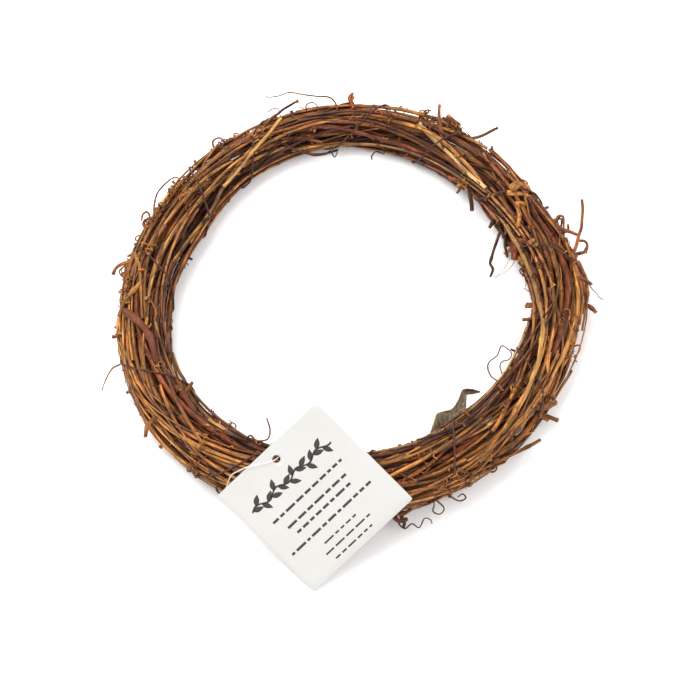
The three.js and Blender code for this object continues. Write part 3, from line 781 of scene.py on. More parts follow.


# Painted shade in the crevices, multiplied into the bark colour: how much light bark keeps is the product,
# over all other canes, of one less a share that grows as that cane comes closer and as the bark faces it. The
# tint makes the painted shade redder too.
def paintedCreviceShade(index, verts):
    theta, s, z = ringPlace(verts)
    caneS, caneZ, caneRadius = nearCrossings(theta)
    ownS, ownZ = s - caneS[index], z - caneZ[index]
    length = np.maximum(np.hypot(ownS, ownZ), 1e-6)
    towardsS, towardsZ = caneS - s, caneZ - z
    distance = np.maximum(np.hypot(towardsS, towardsZ), 1e-6)
    facing = np.clip((ownS * towardsS + ownZ * towardsZ) / length / distance, 0, 1)
    near = np.clip(1 - (distance - caneRadius) / paintedCreviceShadeLook["reach"], 0, 1)
    kept = 1 - paintedCreviceShadeLook["share"] * near * np.nan_to_num(facing, nan=0.0)
    kept[index] = 1
    light = paintedCreviceShadeLook["least"] + (1 - paintedCreviceShadeLook["least"]) * np.nanprod(kept, 0)
    return light[:, None] ** paintedCreviceShadeLook["tint"]


# Where each cane passes each theta, without the radius of what stands well off the bundle
def boundCrossings(theta):
    s, z, radius = crossings(theta)
    radius[np.hypot(s, z) > bundleRadius(theta) + wireRule["looseEnd"]] = np.nan
    return s, z, radius


# How far those canes reach from the middle of the bundle towards phi
def bundleReach(theta, phi):
    s, z, radius = boundCrossings(np.atleast_1d(theta))
    return np.nanmax(alongRay(s, z, phi)[0] + radius, 0)


# The furthest distance from the middle of the bundle at which the ray towards phi leaves a cane
def surfaceReach(theta, phi):
    s, z, radius = nearCrossings(theta)
    out, aside = alongRay(s, z, phi)
    half = np.sqrt(np.maximum(radius**2 - aside**2, 0))
    return np.nanmax(np.where(half > 0, out + half, 0.5 * bundleRadius(theta)), 0)


# How far points are clear of the nearest bark: below 0 inside a cane
def clearOfCanes(points):
    theta, s, z = ringPlace(points)
    caneS, caneZ, caneRadius = nearCrossings(theta)
    return np.nanmin(np.hypot(s - caneS, z - caneZ) - caneRadius, 0)


# Points moved together towards the middle of the bundle, by their clear distance each time, until one of
# them is sunk a little way into bark
def seated(points, depth=0.1, rounds=20):
    away = points.mean(0) - ring["middle"]
    theta = np.degrees(np.arctan2(away[1], away[0])) % 360
    inward = unit(inSection(theta, 0.0, bundleMiddle(theta)) - points.mean(0))
    for _ in range(rounds):
        points = points + inward * max(clearOfCanes(points).min() + depth, 0)
    return points


# Which of the part's own canes lies furthest out towards phi and close to that line
def outermost(theta, phi):
    s, z, _ = crossings(np.array([float(theta)]))[:, :len(canes), 0]
    out, aside = alongRay(s, z, phi)
    return int(np.nanargmax(out - 0.25 * np.abs(aside)))


# The point of a cane at theta
def caneAt(index, theta):
    course = courses[index]
    at = theta + 360 * np.arange(-2, 3)
    at = at[(at >= course["theta"][0]) & (at <= course["theta"][-1])][0]
    return np.array([np.interp(at, course["theta"], course["points"][:, k]) for k in range(3)])


# Broken side shoots: out of the outermost cane at theta and phi, leaning along the ring and bending
shootKeys = ("theta", "phi", "lean", "bend", "length", "radius", "knob", "tone")
shoots = (
    (116.5, 51, -60, -30, 22, 0.6, 1.5, "mauve"),
    (90, 45, 22, -45, 6.5, 0.75, 1.3, "orange"),
    (65, 20, 36, -18, 11.3, 0.8, 1.0, "orange"),
    (57.5, 26, -64, 32, 16.4, 0.7, 1.0, "brown"),
    (3, 25, -20, -30, 8, 0.7, 1.1, "brown"),
    (47, 172, -42, 0, 13, 1.0, 1.1, "dark"),
    (29, 186, -52, -15, 16, 0.65, 0.9, "dark"),
    (171, 31, 14, 68, 13, 0.8, 1.3, "orange"),
    (215, 150, -20, 0, 8, 0.9, 0.8, "brown"),
    (216, 22, 10, 45, 12, 0.85, 1.1, "brown"),
    (326, 8, 15, 0, 7, 0.95, 1.2, "brown"),
    (196, 165, 50, 0, 6, 0.6, 0.7, "brown"),
    (10, 39, 49, 28, 26.7, 0.75, 1.05, "orange"),
)


shootRule = {
    "spacing": 0.6,
    "waver": (8, 4),  # degrees, and millimetres from one to the next
    "foot": (0.5, 1.2),  # how much thicker it is where it grew on, and how far up
    "knobLength": 0.9,
    "sides": 10,
    "ridges": 0.06,
    "cutShade": 0.7,
}


# A shoot's path is summed from short steps that turn from its lean by its bend
def shootPart(shoot, rng):
    index = outermost(shoot["theta"], shoot["phi"])
    theta, phi = np.radians(shoot["theta"]), np.radians(shoot["phi"])
    out = np.array([np.cos(theta) * np.cos(phi), np.sin(theta) * np.cos(phi), np.sin(phi)])
    along = np.array([-np.sin(theta), np.cos(theta), 0])
    count = int(shoot["length"] / shootRule["spacing"])
    share = np.linspace(0, 1, count)
    swing, wave = shootRule["waver"]
    swung = swing * waver(rng, share * shoot["length"], wave)
    angle = np.radians(shoot["lean"] + shoot["bend"] * share + swung)
    steps = np.cos(angle)[:, None] * out + np.sin(angle)[:, None] * along
    points = caneAt(index, shoot["theta"]) + np.cumsum(steps, 0) * shoot["length"] / count
    thicker, up = shootRule["foot"]
    radii = shoot["radius"] * (1.1 - 0.2 * share + thicker * np.exp(-((share * shoot["length"] / up) ** 2)))
    knob = np.exp(-(((1 - share) * shoot["length"] / shootRule["knobLength"]) ** 2))
    radii = radii * (1 + (shoot["knob"] - 1) * knob)
    points[:, 2] = np.maximum(points[:, 2], radii)
    colours = barkColour(points, paint[shoot["tone"]], rng, 0.2, 6)
    return index, tube(points, radii, shootRule["sides"], colours, rng, shootRule["ridges"],
                       endTone=paint["wood"] * shootRule["cutShade"])


# Canes with a tone of their own, that their place on the ring hardly changes
ownTones = {"cane_straw": "gold", "cane_bark": "rust", "cane_bowed": "gold", "cane_olive": "olive",
            "cane_dark": "mauve"}
parts = [[] for _ in courses]
for index, (cane, course) in enumerate(zip(canes + thinCanes, courses)):
    rng = np.random.default_rng(500 + index)
    isThin = index >= len(canes)
    tone = anyTone(rng, barkTones[cane["bark"]])
    own = ownTones.get(cane["name"])
    pull = caneLook["ownPull" if own else "otherPull"]
    colours = barkColour(course["points"], paint[own] if own else tone, rng, pull)
    dark, width = caneLook["ringDark"]
    colours *= (1 - dark * np.exp(-((course["near"] / width) ** 2)))[:, None]
    sides = caneLook["thinSides" if isThin else "thickSides"]
    ridges = caneLook["ridges"] * (caneLook["darkRidges"] if cane["bark"] == "dark" else 1)
    part = tube(course["points"], course["radius"], sides, colours, rng, ridges,
                endTone=paint["wood"] * rng.uniform(0.5, 1))
    # The bark colour is darkened by painted shade where it faces nearby canes
    part["bark"] = part["bark"] * paintedCreviceShade(index, part["verts"])
    parts[index].append(part)
for number, row in enumerate(shoots):
    host, part = shootPart(dict(zip(shootKeys, row)), np.random.default_rng(900 + number))
    parts[host].append(part)
for index, cane in enumerate(canes):
    makePiece(cane["name"] + "_bark", parts[index], barks[cane["bark"]], "cane_" + cane["bark"], cane["name"])
for bark in barks:
    chosen = [part for index in range(len(canes), len(courses)) for part in parts[index]
              if (canes + thinCanes)[index]["bark"] == bark]
    makePiece("thin_canes_" + bark, chosen, barks[bark], "cane_" + bark)
print("canes made")


# The wire as a taut string at fixed theta: from the support lines round the canes, each point is drawn to
# the middle of its neighbours, then pushed off the canes that it meets
def wirePath(rng):
    first, last = wireRule["range"]
    count = int((last - first) * wireRule["pointsPerTurn"])
    before = first + np.arange(count) / wireRule["pointsPerTurn"]
    after = before + 1 / wireRule["pointsPerTurn"]
    theta = wireTheta((before + after) / 2)
    room = wireRule["radius"] + wireRule["gap"]
    reachA = bundleReach(theta, 90 + 360 * before) + room
    reachB = bundleReach(theta, 90 + 360 * after) + room
    phiA, phiB = np.radians(90 + 360 * before), np.radians(90 + 360 * after)
    s = (reachA * np.sin(phiB) - reachB * np.sin(phiA)) / np.sin(phiB - phiA)
    z = (reachB * np.cos(phiA) - reachA * np.cos(phiB)) / np.sin(phiB - phiA)
    caneS, caneZ, caneRadius = boundCrossings(theta)
    for _ in range(wireRule["rounds"]):
        s[1:-1] = (s[:-2] + s[2:]) / 2
        z[1:-1] = (z[:-2] + z[2:]) / 2
        awayS, awayZ = s - caneS, z - caneZ
        distance = np.maximum(np.hypot(awayS, awayZ), 0.01)
        depth = np.nan_to_num(caneRadius + room - distance, nan=-99.0)
        deepest = np.argmax(depth, 0), np.arange(count)
        push = np.maximum(depth[deepest], 0) / distance[deepest]
        s, z = s + awayS[deepest] * push, z + awayZ[deepest] * push
        z = np.maximum(z, room - bundleMiddle(theta))
    points = inSection(theta, s, bundleMiddle(theta) + z)
    lengths = lengthsAlong(points)
    places = np.arange(0, lengths[-1], wireRule["spacing"])
    points = np.stack([np.interp(places, lengths, points[:, k]) for k in range(3)], -1)
    for _ in range(2):
        points[1:-1] = (points[:-2] + 2 * points[1:-1] + points[2:]) / 4
    amount, wave = wireRule["kink"]
    points += amount * waver(rng, places, wave, 3)
    points[:, 2] = np.maximum(points[:, 2], wireRule["radius"] + wireRule["offTable"])
    return points


rng = np.random.default_rng(41)
wirePoints = wirePath(rng)
wireTone = np.array([0.052, 0.03, 0.032])


# Dark lacquer, worn to a redder brown in places
def wireMaterial():
    material, add, give = newMaterial("wire_lacquer")
    wear = noise(add, grainPlace(add), 1.0, 4.0, 0.6, (1.2, 1.2, 0.5))
    tone = ramp(add, wear, (0.32, (0.034, 0.011, 0.009)), (0.55, (0.075, 0.028, 0.022)),
                (0.74, (0.14, 0.06, 0.045)))
    give(Base_Color=tone, Roughness=spreadOut(add, wear, 0.55, 0.8), Normal=bumps(add, wear, 0.3, 0.0001),
         Specular_IOR_Level=0.25)
    return material


wirePart = tube(wirePoints, np.full(len(wirePoints), wireRule["radius"]), wireRule["sides"], wireTone, rng)
makePiece("binding_wire_round", wirePart, wireMaterial(), "wire", "binding_wire")
print("wire made")

# The photograph's view: the middle of the ring, 12 mm up, shows at this place in a picture 700 points wide
view = {
    "target": (0.7, 15.1, 12.0),
    "elevation": 63,
    "distance": 900,
    "focal": 2057.4,
    "middle": (353, 297),
    "size": 700,
}
viewAngle = np.radians(view["elevation"])
viewForward = np.array([0, np.cos(viewAngle), -np.sin(viewAngle)])
viewUp = np.array([0, np.sin(viewAngle), np.cos(viewAngle)])
viewEye = np.array(view["target"]) - viewForward * view["distance"]


# The points that show at places in that picture, at heights above the table
def seenAt(places, heights):
    x, y = ((np.asarray(places, float) - view["middle"]) / view["focal"]).T
    rays = viewForward + x[:, None] * np.array([1, 0, 0]) - y[:, None] * viewUp
    return viewEye + rays * ((heights - viewEye[2]) / rays[:, 2])[:, None]


# Where the line of sight through each place first meets a cane, on its way down from above the wreath, or
# else where it is near the height of the bundle's middle
def landing(places):
    highest, down, halfway = 52, -0.4, 14
    heights = np.arange(highest, 0, down)
    points = seenAt(np.repeat(places, len(heights), 0), np.tile(heights, len(places)))
    theta, s, z = ringPlace(points)
    caneS, caneZ, caneRadius = nearCrossings(theta)
    meets = (np.hypot(s - caneS, z - caneZ) < caneRadius).any(0).reshape(len(places), -1)
    first = np.where(meets.any(1), meets.argmax(1), np.argmin(np.abs(heights - halfway)))
    return points.reshape(len(places), len(heights), 3)[np.arange(len(places)), first]


# Tendrils and snags, by what they are: places in the picture, heights of both ends, radius and tone.
# What is laid on the canes has its heights counted from them.
tendrils = (
    ("wisp", ((337, 107), (334, 101), (328, 97), (315, 96), (302, 94.5), (289, 92.5), (278, 96), (268, 97),
              (266, 95)), (15, 27), 0.34, "brown"),
    ("curl", ((306, 108), (306.5, 105), (312, 102.5), (317, 106), (318, 111)), (15, 16), 0.3, "dark"),
    ("curl", ((268, 112), (273, 109), (278, 109), (280, 113)), (16, 17), 0.22, "brown"),
    ("snag", ((353, 106), (349.8, 99.5), (350, 96), (352.5, 93)), (16, 19), 0.85, "orange"),
    ("curl", ((370, 113), (372, 106), (375, 105.5), (376.5, 110)), (16, 16), 0.36, "mauve"),
    ("tendril", ((268, 137), (282, 143), (295, 149.4), (306, 152.5), (316, 154), (328, 153), (338, 150)),
     (13, 8), 0.62, "dark"),
    ("tendril", ((306, 151), (313, 155.5), (326, 154), (330, 150), (334, 157), (337, 152), (331, 149)),
     (8, 7), 0.3, "dark"),
    ("wisp", ((372, 159.5), (372, 156), (376, 151.6), (384, 153.8), (383.5, 149.4), (387, 148), (393, 150.5),
              (401, 157), (405, 155)), (6, 8), 0.3, "dark"),
    ("snag", ((492.5, 156), (492.3, 150), (492, 146)), (14, 16), 0.5, "brown"),
    ("snag", ((499, 214), (495, 219), (490, 228)), (8, 6), 0.8, "dark"),
    ("twig", ((503, 222), (500, 233), (495, 246), (491.5, 259), (490.5, 264), (493, 269.5), (490.5, 276.5)),
     (8, 4), 0.65, "dark"),
    ("snag", ((500, 226), (504.5, 238), (508, 246)), (9, 7), 0.65, "dark"),
    ("fibre", ((517, 258), (509, 269), (497, 276), (484, 277.5), (477, 278)), (7, 5), 0.13, "brown"),
    ("fibre", ((511, 258), (504, 269), (498, 275), (495, 279)), (7, 5), 0.12, "brown"),
    ("fibre", ((520, 256), (522, 262), (523, 266)), (7, 6), 0.13, "brown"),
    ("spiral", ((519, 262), (522, 266), (527, 269), (526, 274), (521.5, 274), (520, 270), (524, 267),
                (529, 271), (527, 276), (522, 276)), (9, 8), 0.36, "dark"),
    ("fibre", ((525, 276), (526, 283), (525.5, 287)), (8, 7), 0.15, "brown"),
    ("fibre", ((524, 288), (528, 291), (531, 292)), (9, 9), 0.25, "gold"),
    ("curl", ((555, 222), (558.3, 216.5), (563, 217), (564, 229)), (14, 15), 0.62, "brown"),
    ("curl", ((556, 225), (558, 219), (561.5, 219), (561, 227), (558, 230)), (14, 15), 0.5, "dark"),
    ("twig", ((546, 218), (556, 225), (563, 230), (571, 232), (578, 235)), (17, 15), 0.75, "brown"),
    ("snag", ((567, 231), (568.3, 224)), (14, 16), 0.62, "orange"),
    ("hook", ((578, 240), (584.5, 241), (587, 246), (584, 252), (579, 254)), (14, 13), 0.6, "brown"),
    ("snag", ((581, 252), (587, 252)), (13, 13), 0.45, "dark"),
    ("curl", ((521, 179), (527, 182), (526.5, 187), (523, 188)), (17, 16), 0.4, "orange"),
    ("bow", ((578, 262), (583, 272), (586.5, 281), (586.5, 298), (583, 312)), (13, 12), 0.85, "orange"),
    ("tendril", ((584, 282), (592, 289), (597.5, 294.5), (598.5, 297), (603, 300)), (14, 17), 0.28, "dark"),
    ("curl", ((573, 346), (580, 345), (579, 352), (575, 357), (577, 362)), (11, 10), 0.34, "rust"),
    ("tendril", ((497, 381), (491, 376), (488, 367), (490, 361), (497, 355), (501.5, 346), (510, 351.5),
                 (511, 356), (508, 360), (502, 362), (500, 367), (502, 374)), (11, 12), 0.32, "grey"),
    ("snag", ((511, 349), (516, 351)), (12, 12), 0.4, "dark"),
    ("snag", ((413, 447), (412, 441)), (18, 19), 0.5, "brown"),
    ("curl", ((448, 494), (453, 498), (460, 501), (466, 498), (463, 494), (458, 497)), (8, 6), 0.36, "dark"),
    ("tendril", ((396, 512), (398, 522), (405, 529), (412, 524), (419, 528), (424, 519), (430, 520),
                 (432, 524)),
     (7, 4), 0.32, "dark"),
    ("loop", ((436, 500), (444, 508), (440, 514), (433, 511), (434, 503)), (8, 5), 0.3, "dark"),
    ("tendril", ((248, 437), (256, 441), (267, 439.5), (270, 430), (267, 418)), (19, 24), 0.42, "brown"),
    ("curl", ((186, 460), (195, 475), (203, 478), (209, 475), (207, 470)), (9, 7), 0.4, "brown"),
    ("twig", ((165, 403), (153, 415), (146.5, 426), (145, 437)), (11, 7), 0.6, "brown"),
    ("fibre", ((130, 352), (122, 363), (112, 369), (105, 382), (102, 391)), (11, 5), 0.36, "brown"),
    ("curl", ((121, 340), (120, 336), (122, 333.5), (127, 333)), (11, 12), 0.34, "dark"),
    ("curl", ((123, 352), (120, 347), (122, 342), (127, 343)), (11, 12), 0.34, "dark"),
    ("curl", ((133, 263), (126, 265), (120, 270), (121, 274), (127, 271), (132, 275)),
     (12, 13), 0.38, "brown"),
    ("tendril", ((131, 274), (126, 281), (129.5, 286), (122, 293), (123.5, 298), (120.5, 303), (123, 306)),
     (12, 11), 0.45, "brown"),
    ("curl", ((124, 309), (120, 303), (121, 295), (125, 293)), (11, 12), 0.3, "dark"),
    ("snag", ((136, 251), (131, 255), (128, 256.5)), (12, 13), 0.5, "brown"),
    ("curl", ((139, 242), (135, 239), (138, 236), (142, 237), (140, 241)), (13, 15), 0.34, "brown"),
    ("curl", ((157, 226), (146, 228), (144, 222), (150, 217), (147, 212), (143, 215), (142, 221)),
     (15, 18), 0.55, "orange"),
    ("wisp", ((154, 210), (155, 201), (158, 192), (166, 183), (175, 177.5), (181, 181), (184, 187)), (15, 19),
     0.36, "brown"),
    ("curl", ((214, 150), (213, 142), (219, 138), (224, 141), (221, 147), (216, 145)),
     (16, 18), 0.45, "brown"),
    ("snag", ((187, 257.5), (192.5, 259.5)), (9, 9), 0.6, "dark"),
    ("end", ((530, 405), (540, 406), (549, 405), (555.5, 402)), (17, 13), 1.6, "brown"),
    ("hook", ((578, 304), (584, 304.5), (590, 306.5), (596, 312)), (12, 12), 0.8, "brown"),
    ("snag", ((174, 193), (171, 190), (169, 188)), (17, 18), 0.7, "brown"),
    ("stub", ((514, 234), (515, 241), (515.5, 248), (514.5, 259)), (12, 9), 1.5, "rust"),
    ("strip", ((508, 193), (515, 193.5), (523, 194.5), (531, 197)), (21, 19), 1.1, "gold"),
    ("flap", ((512, 189), (517, 184.5), (522, 184), (528, 188)), (22, 19), 1.7, "gold"),
    ("twig", ((516, 203), (518, 208), (519, 216), (518, 224)), (22, 21), 0.8, "gold"),
    ("twig", ((516, 204), (521, 203), (525, 204)), (22, 21), 0.65, "gold"),
    ("tendril", ((185, 449), (190, 458), (199, 465), (207, 472), (212, 481)), (8, 5), 0.45, "brown"),
    ("loop", ((193, 462), (196, 470), (203, 473), (206, 467), (200, 462)), (9, 7), 0.4, "dark"),
    ("hook", ((224, 482), (217, 486), (218, 492), (224, 495)), (14, 12), 0.42, "dark"),
    ("twig", ((385, 512), (392, 516), (399, 521), (407, 519)), (9, 7), 0.9, "dark"),
    ("twig", ((389, 507), (396, 513), (404, 514), (411, 510)), (11, 10), 0.8, "rust"),
    ("snag", ((402, 517), (405, 522), (404, 527)), (8, 6), 0.7, "dark"),
    ("laid", ((261, 132), (268, 137), (276, 141), (286, 146)), (0.6, 0.6), 0.5, "dark"),
    ("laid", ((418.5, 124), (436, 141), (453, 158), (470, 174), (486, 188)), (0.9, 0.9), 0.95, "honey"),
    ("laid", ((506, 226), (520, 249), (531, 273), (538, 298), (542, 316), (542.5, 333), (538, 362),
              (527, 391),
              (506, 430), (492, 450), (480, 463)), (0.9, 0.9), 0.9, "straw"),
    ("laid", ((126, 311), (138, 321), (149, 335), (153, 348), (156, 362)), (1.1, 1.1), 1.5, "russet"),
    ("laid", ((176, 388), (185, 398), (194, 411)), (0.9, 0.9), 1.3, "russet"),
    ("laid", ((281, 118), (268, 134), (252, 153), (238, 170), (225, 185)), (0.9, 0.9), 0.65, "straw"),
    ("laid", ((444, 150), (442.5, 139), (440.5, 128), (440, 119)), (0.9, 0.9), 0.8, "brown"),
    ("twig", ((447, 116), (452, 119.5), (458, 126)), (17, 17), 1.0, "orange"),
    ("twig", ((441, 120), (446, 119.5), (449, 124)), (17, 17), 0.8, "brown"),
    ("laid", ((160, 267), (148, 276), (136, 287), (124, 303), (118.5, 316)), (0.9, 0.9), 0.85, "gold"),
    ("laid", ((135, 253), (139.5, 270), (141.5, 298), (143, 318)), (0.9, 0.9), 0.7, "gold"),
    ("laid", ((139, 270), (144, 269.5), (149, 269)), (1.2, 1), 0.6, "orange"),
    ("laid", ((147, 299), (152, 303), (156, 311), (155, 320)), (0.8, 0.8), 0.45, "orange"),
)

# Knots of dark curls that cling to the canes: place in the picture, spread there and number of curls
tangles = (
    ((431, 121), 7, 12), ((452, 123), 6, 12), ((444, 120), 6, 8), ((388, 117), 7, 6), ((356, 129), 5, 5),
    ((293, 139), 8, 8), ((218, 143), 6, 6), ((147, 222), 6, 13), ((159, 211), 6, 22), ((175, 194), 5, 15),
    ((129, 270), 6, 7), ((126, 292), 6, 8), ((463, 477), 9, 16), ((449, 488), 7, 9), ((511, 388), 7, 8),
    ((421, 458), 7, 7), ((408, 478), 8, 6), ((524, 271), 5, 5), ((566, 238), 6, 12), ((575, 258), 6, 6),
    ((572, 350), 6, 5), ((196, 460), 6, 8), ((486, 180), 6, 4), ((500, 232), 6, 7), ((268, 119), 8, 8),
    ((545, 262), 8, 8), ((255, 140), 9, 9), ((135, 250), 6, 6), ((395, 512), 6, 7), ((498, 460), 9, 10),
    ((427, 119), 5, 12), ((450, 121), 5, 10), ((457, 127), 5, 9), ((466, 132), 4, 7), ((130, 283), 4, 7),
    ((126, 300), 4, 7), ((566, 250), 6, 9), ((193, 468), 6, 9), ((120, 335), 4, 6), ((420, 121), 6, 8),
    ((570, 239), 4, 10), ((560, 222), 4, 6), ((188, 182), 4, 8),
)


# How the kinds differ: what is sturdy has more sides, ridges, a knot on the way and cut ends
tendrilRule = {
    "spacing": 0.7,
    "rise": 1.5,  # power of the way from one height to the other
    "sturdy": ("snag", "hook", "end", "twig", "bow", "stub", "laid"),
    "fine": ("wisp", "fibre"),
    "flat": ("strip", "flap"),
    "side": (0, -0.3, 1.0),
    "flatness": 0.3,
    "fineWaver": 0.12,
    "waver": 0.2,
    "thickFoot": 1.15,
    "sturdyTaper": 0.25,
    "taper": 0.4,
    "lumps": 0.12,
    "knot": (0.35, 1.2),  # how thick and how long
    "knotPlace": (0.4, 0.7),
    "ridges": 0.06,
    "cutShade": 0.6,
}


# The laid pieces, or else all the others. What would hang in the air grows out of the nearest bark.
def tendrilParts(laid):
    made, rule = [], tendrilRule
    for number, (kind, places, heights, radius, tone) in enumerate(tendrils):
        if (kind == "laid") != laid:
            continue
        rng = np.random.default_rng(1200 + number)
        rise = np.linspace(0, 1, len(places)) ** rule["rise"]
        if kind == "laid":
            height = landing(places)[:, 2] + heights[0]
            around = np.pad(height, 1, "edge")
            height = np.maximum(height, (around[:-2] + around[2:]) / 2)
        else:
            height = heights[0] + (heights[1] - heights[0]) * rise
        line = seenAt(places, height)
        clear = clearOfCanes(evenly(line, rule["spacing"]))
        if clear.min() > 0:
            isFirst = clear[0] < clear[-1]
            root = seated(line[:1] if isFirst else line[-1:])
            line = np.concatenate([root, line] if isFirst else [line, root])
        points = evenly(line, rule["spacing"])
        lengths = lengthsAlong(points)
        share = lengths / lengths[-1]
        sturdy = kind in rule["sturdy"]
        points += rule["fineWaver" if kind in rule["fine"] else "waver"] * waver(rng, lengths, 7, 3)
        taper = rule["sturdyTaper" if sturdy else "taper"]
        radii = radius * (rule["thickFoot"] - taper * share) * (1 + rule["lumps"] * waver(rng, lengths, 4))
        if sturdy:
            thicker, long = rule["knot"]
            away = (share - rng.uniform(*rule["knotPlace"])) * lengths[-1]
            radii *= 1 + thicker * np.exp(-((away / long) ** 2))
        points[:, 2] = np.maximum(points[:, 2], radii)
        colours = barkColour(points, paint[tone], rng, 0.1 if laid else 0.15, 40 if laid else 8)
        made.append(tube(points, radii, 10 if sturdy else 6, colours, rng, rule["ridges"] if sturdy else 0,
                         rule["flatness"] if kind in rule["flat"] else 1, np.array(rule["side"]),
                         paint["wood"] * rule["cutShade"] if sturdy else None))
    return made


# Curls cling in knots and singly: each drifts along the surface while it turns round that line, in a
# slack coil that shrinks and is flattened towards the canes
curlRule = {
    "seed": 15,
    "single": 300,
    "size": (0.4, 1.5),
    "length": (3, 10),
    "radius": (0.16, 0.4),
    "flat": 0.6,
    "turns": (0.5, 2.2),
    "shrink": (1.2, 0.6),  # of the coil, from its start to its end
    "off": 0.3,  # how far the line it turns round is off the surface
    "slack": 0.6,  # that line's length, as a share of the curl's
    "taper": (1.1, 0.5),
    "closeness": 0.6,  # of a knot, in its spreads
    "least": 2,  # height above the table
    "tones": ("dark", "brown", "brown", "mauve", "orange", "gold"),
}


# The knots first, then the single curls round the whole ring
def curlParts():
    rng = np.random.default_rng(curlRule["seed"])
    middles = [landing(place + spread * rng.normal(size=(count, 2)) * curlRule["closeness"])
               for place, spread, count in tangles]
    theta, phi = rng.uniform(0, 360, curlRule["single"]), rng.uniform(-20, 200, curlRule["single"])
    middles.append(roundTheBundle(theta, phi, surfaceReach(theta, phi)))
    made = []
    for middle in np.concatenate(middles):
        if middle[2] < curlRule["least"]:
            continue
        away = middle - ring["middle"]
        theta = np.degrees(np.arctan2(away[1], away[0]))
        away = unit(middle - inSection(theta, 0.0, bundleMiddle(theta)))
        length = rng.uniform(*curlRule["length"])
        share = np.linspace(0, 1, int(length * 4))[:, None]
        axis = unit(np.cross(away, rng.normal(size=3)))
        aside = np.cross(away, axis)
        turn = 2 * np.pi * rng.uniform(*curlRule["turns"]) * share + rng.uniform(0, 6)
        first, less = curlRule["shrink"]
        size = rng.uniform(*curlRule["size"]) * (first - less * share)
        points = middle + away * curlRule["off"] + axis * (share - 0.5) * length * curlRule["slack"]
        points = points + size * (np.cos(turn) * aside + curlRule["flat"] * (0.7 + np.sin(turn)) * away)
        first, less = curlRule["taper"]
        radii = rng.uniform(*curlRule["radius"]) * (first - less * share[:, 0])
        points = seated(points)
        points[:, 2] = np.maximum(points[:, 2], radii)
        tone = anyTone(rng, curlRule["tones"])
        made.append(tube(points, radii, 5, barkColour(points, tone, rng, 0.2, 6), rng))
    return made


# Fibres that lie along the canes: theta and phi drift, at the height of the highest canes on the way
fibreRule = {
    "seed": 91,
    "count": 110,
    "span": (5, 20),
    "drift": 2.4,
    "wander": 9,
    "radius": (0.12, 0.32),
    "tones": ("dark", "brown", "rust", "gold", "mauve"),
}


def fibreParts():
    rng = np.random.default_rng(fibreRule["seed"])
    made = []
    for _ in range(fibreRule["count"]):
        span = rng.uniform(*fibreRule["span"])
        share = np.linspace(0, 1, int(span * 2))
        theta = rng.uniform(0, 360) + span * share
        phi = rng.uniform(-10, 190) + rng.uniform(-1, 1) * fibreRule["drift"] * span * share
        phi = phi + fibreRule["wander"] * waver(rng, share * span, 6)
        reach = surfaceReach(theta, phi)
        highest = np.max([reach, np.roll(reach, 1), np.roll(reach, -1)], 0)
        reach = np.convolve(np.pad(highest, 3, "edge"), np.ones(7) / 7, "valid")
        radius = rng.uniform(*fibreRule["radius"])
        points = roundTheBundle(theta, phi, reach + radius)
        points[:, 2] = np.maximum(points[:, 2], radius)
        tone = anyTone(rng, fibreRule["tones"])
        made.append(tube(points, radius * (1.1 - 0.6 * share), 5, barkColour(points, tone, rng, 0.2, 6), rng))
    return made


# The way outwards at a point of a cane, or none where it lies deeper in the bundle than a share of its
# radius, or lower over its middle than the lowest
def wayOut(course, at, share, lowest):
    theta, s = course["theta"][at], course["s"][at]
    up = course["z"][at] - bundleMiddle(theta)
    if np.hypot(s, up) < share * bundleRadius(theta) or up < lowest:
        return None
    return unit(np.array([s * np.cos(np.radians(theta)), s * np.sin(np.radians(theta)), up]))


# Stubs where side shoots broke off: short, from a swollen joint outwards and a little along the cane
stubRule = {
    "seed": 33,
    "count": 90,
    "length": (1.6, 5),
    "radius": (0.5, 0.95),
    "lean": 0.9,
    "scatter": 0.3,
    "atJoint": 0.8,  # how near a joint's middle
    "cutShade": (0.4, 0.9),
    "outside": (0.7, -6),  # share of the bundle's radius and height over its middle
    "tones": ("brown", "brown", "gold", "dark"),
}


def stubParts():
    rng = np.random.default_rng(stubRule["seed"])
    made = []
    while len(made) < stubRule["count"]:
        course = courses[rng.integers(len(canes))]
        joints = np.flatnonzero(course["near"][2:-2] < stubRule["atJoint"]) + 2
        at = joints[rng.integers(len(joints))]
        away = wayOut(course, at, *stubRule["outside"])
        if away is None:
            continue
        onwards = unit(course["points"][at + 1] - course["points"][at])
        lean = onwards * rng.uniform(-1, 1) * stubRule["lean"]
        way = unit(away + lean + stubRule["scatter"] * rng.normal(size=3))
        share = np.linspace(0, 1, 8)
        length = rng.uniform(*stubRule["length"]) + course["radius"][at]
        points = course["points"][at] + way * (length * share)[:, None]
        points = points + 0.15 * waver(rng, share * length, 2, 3)
        radii = rng.uniform(*stubRule["radius"]) * (1.2 - 0.35 * share + 0.2 * (share > 0.9))
        points[:, 2] = np.maximum(points[:, 2], radii)
        colours = barkColour(points, anyTone(rng, stubRule["tones"]), rng, 0.3, 6)
        made.append(tube(points, radii, 9, colours, rng, 0.05,
                         endTone=paint["wood"] * rng.uniform(*stubRule["cutShade"])))
    return made


# Strips of bark that peel off: each starts on a cane and lifts with the square of its length
stripRule = {
    "seed": 77,
    "count": 150,
    "length": (4, 16),
    "width": (0.3, 0.95),
    "flat": 0.2,
    "lift": (0.2, 2.4),
    "aside": 0.25,
    "sunk": 0.95,  # where it starts, as a share of the cane's radius
    "taper": 0.85,
    "outside": (0.62, -4),
    "tones": ("gold", "brown", "rust", "straw", "mauve"),
}


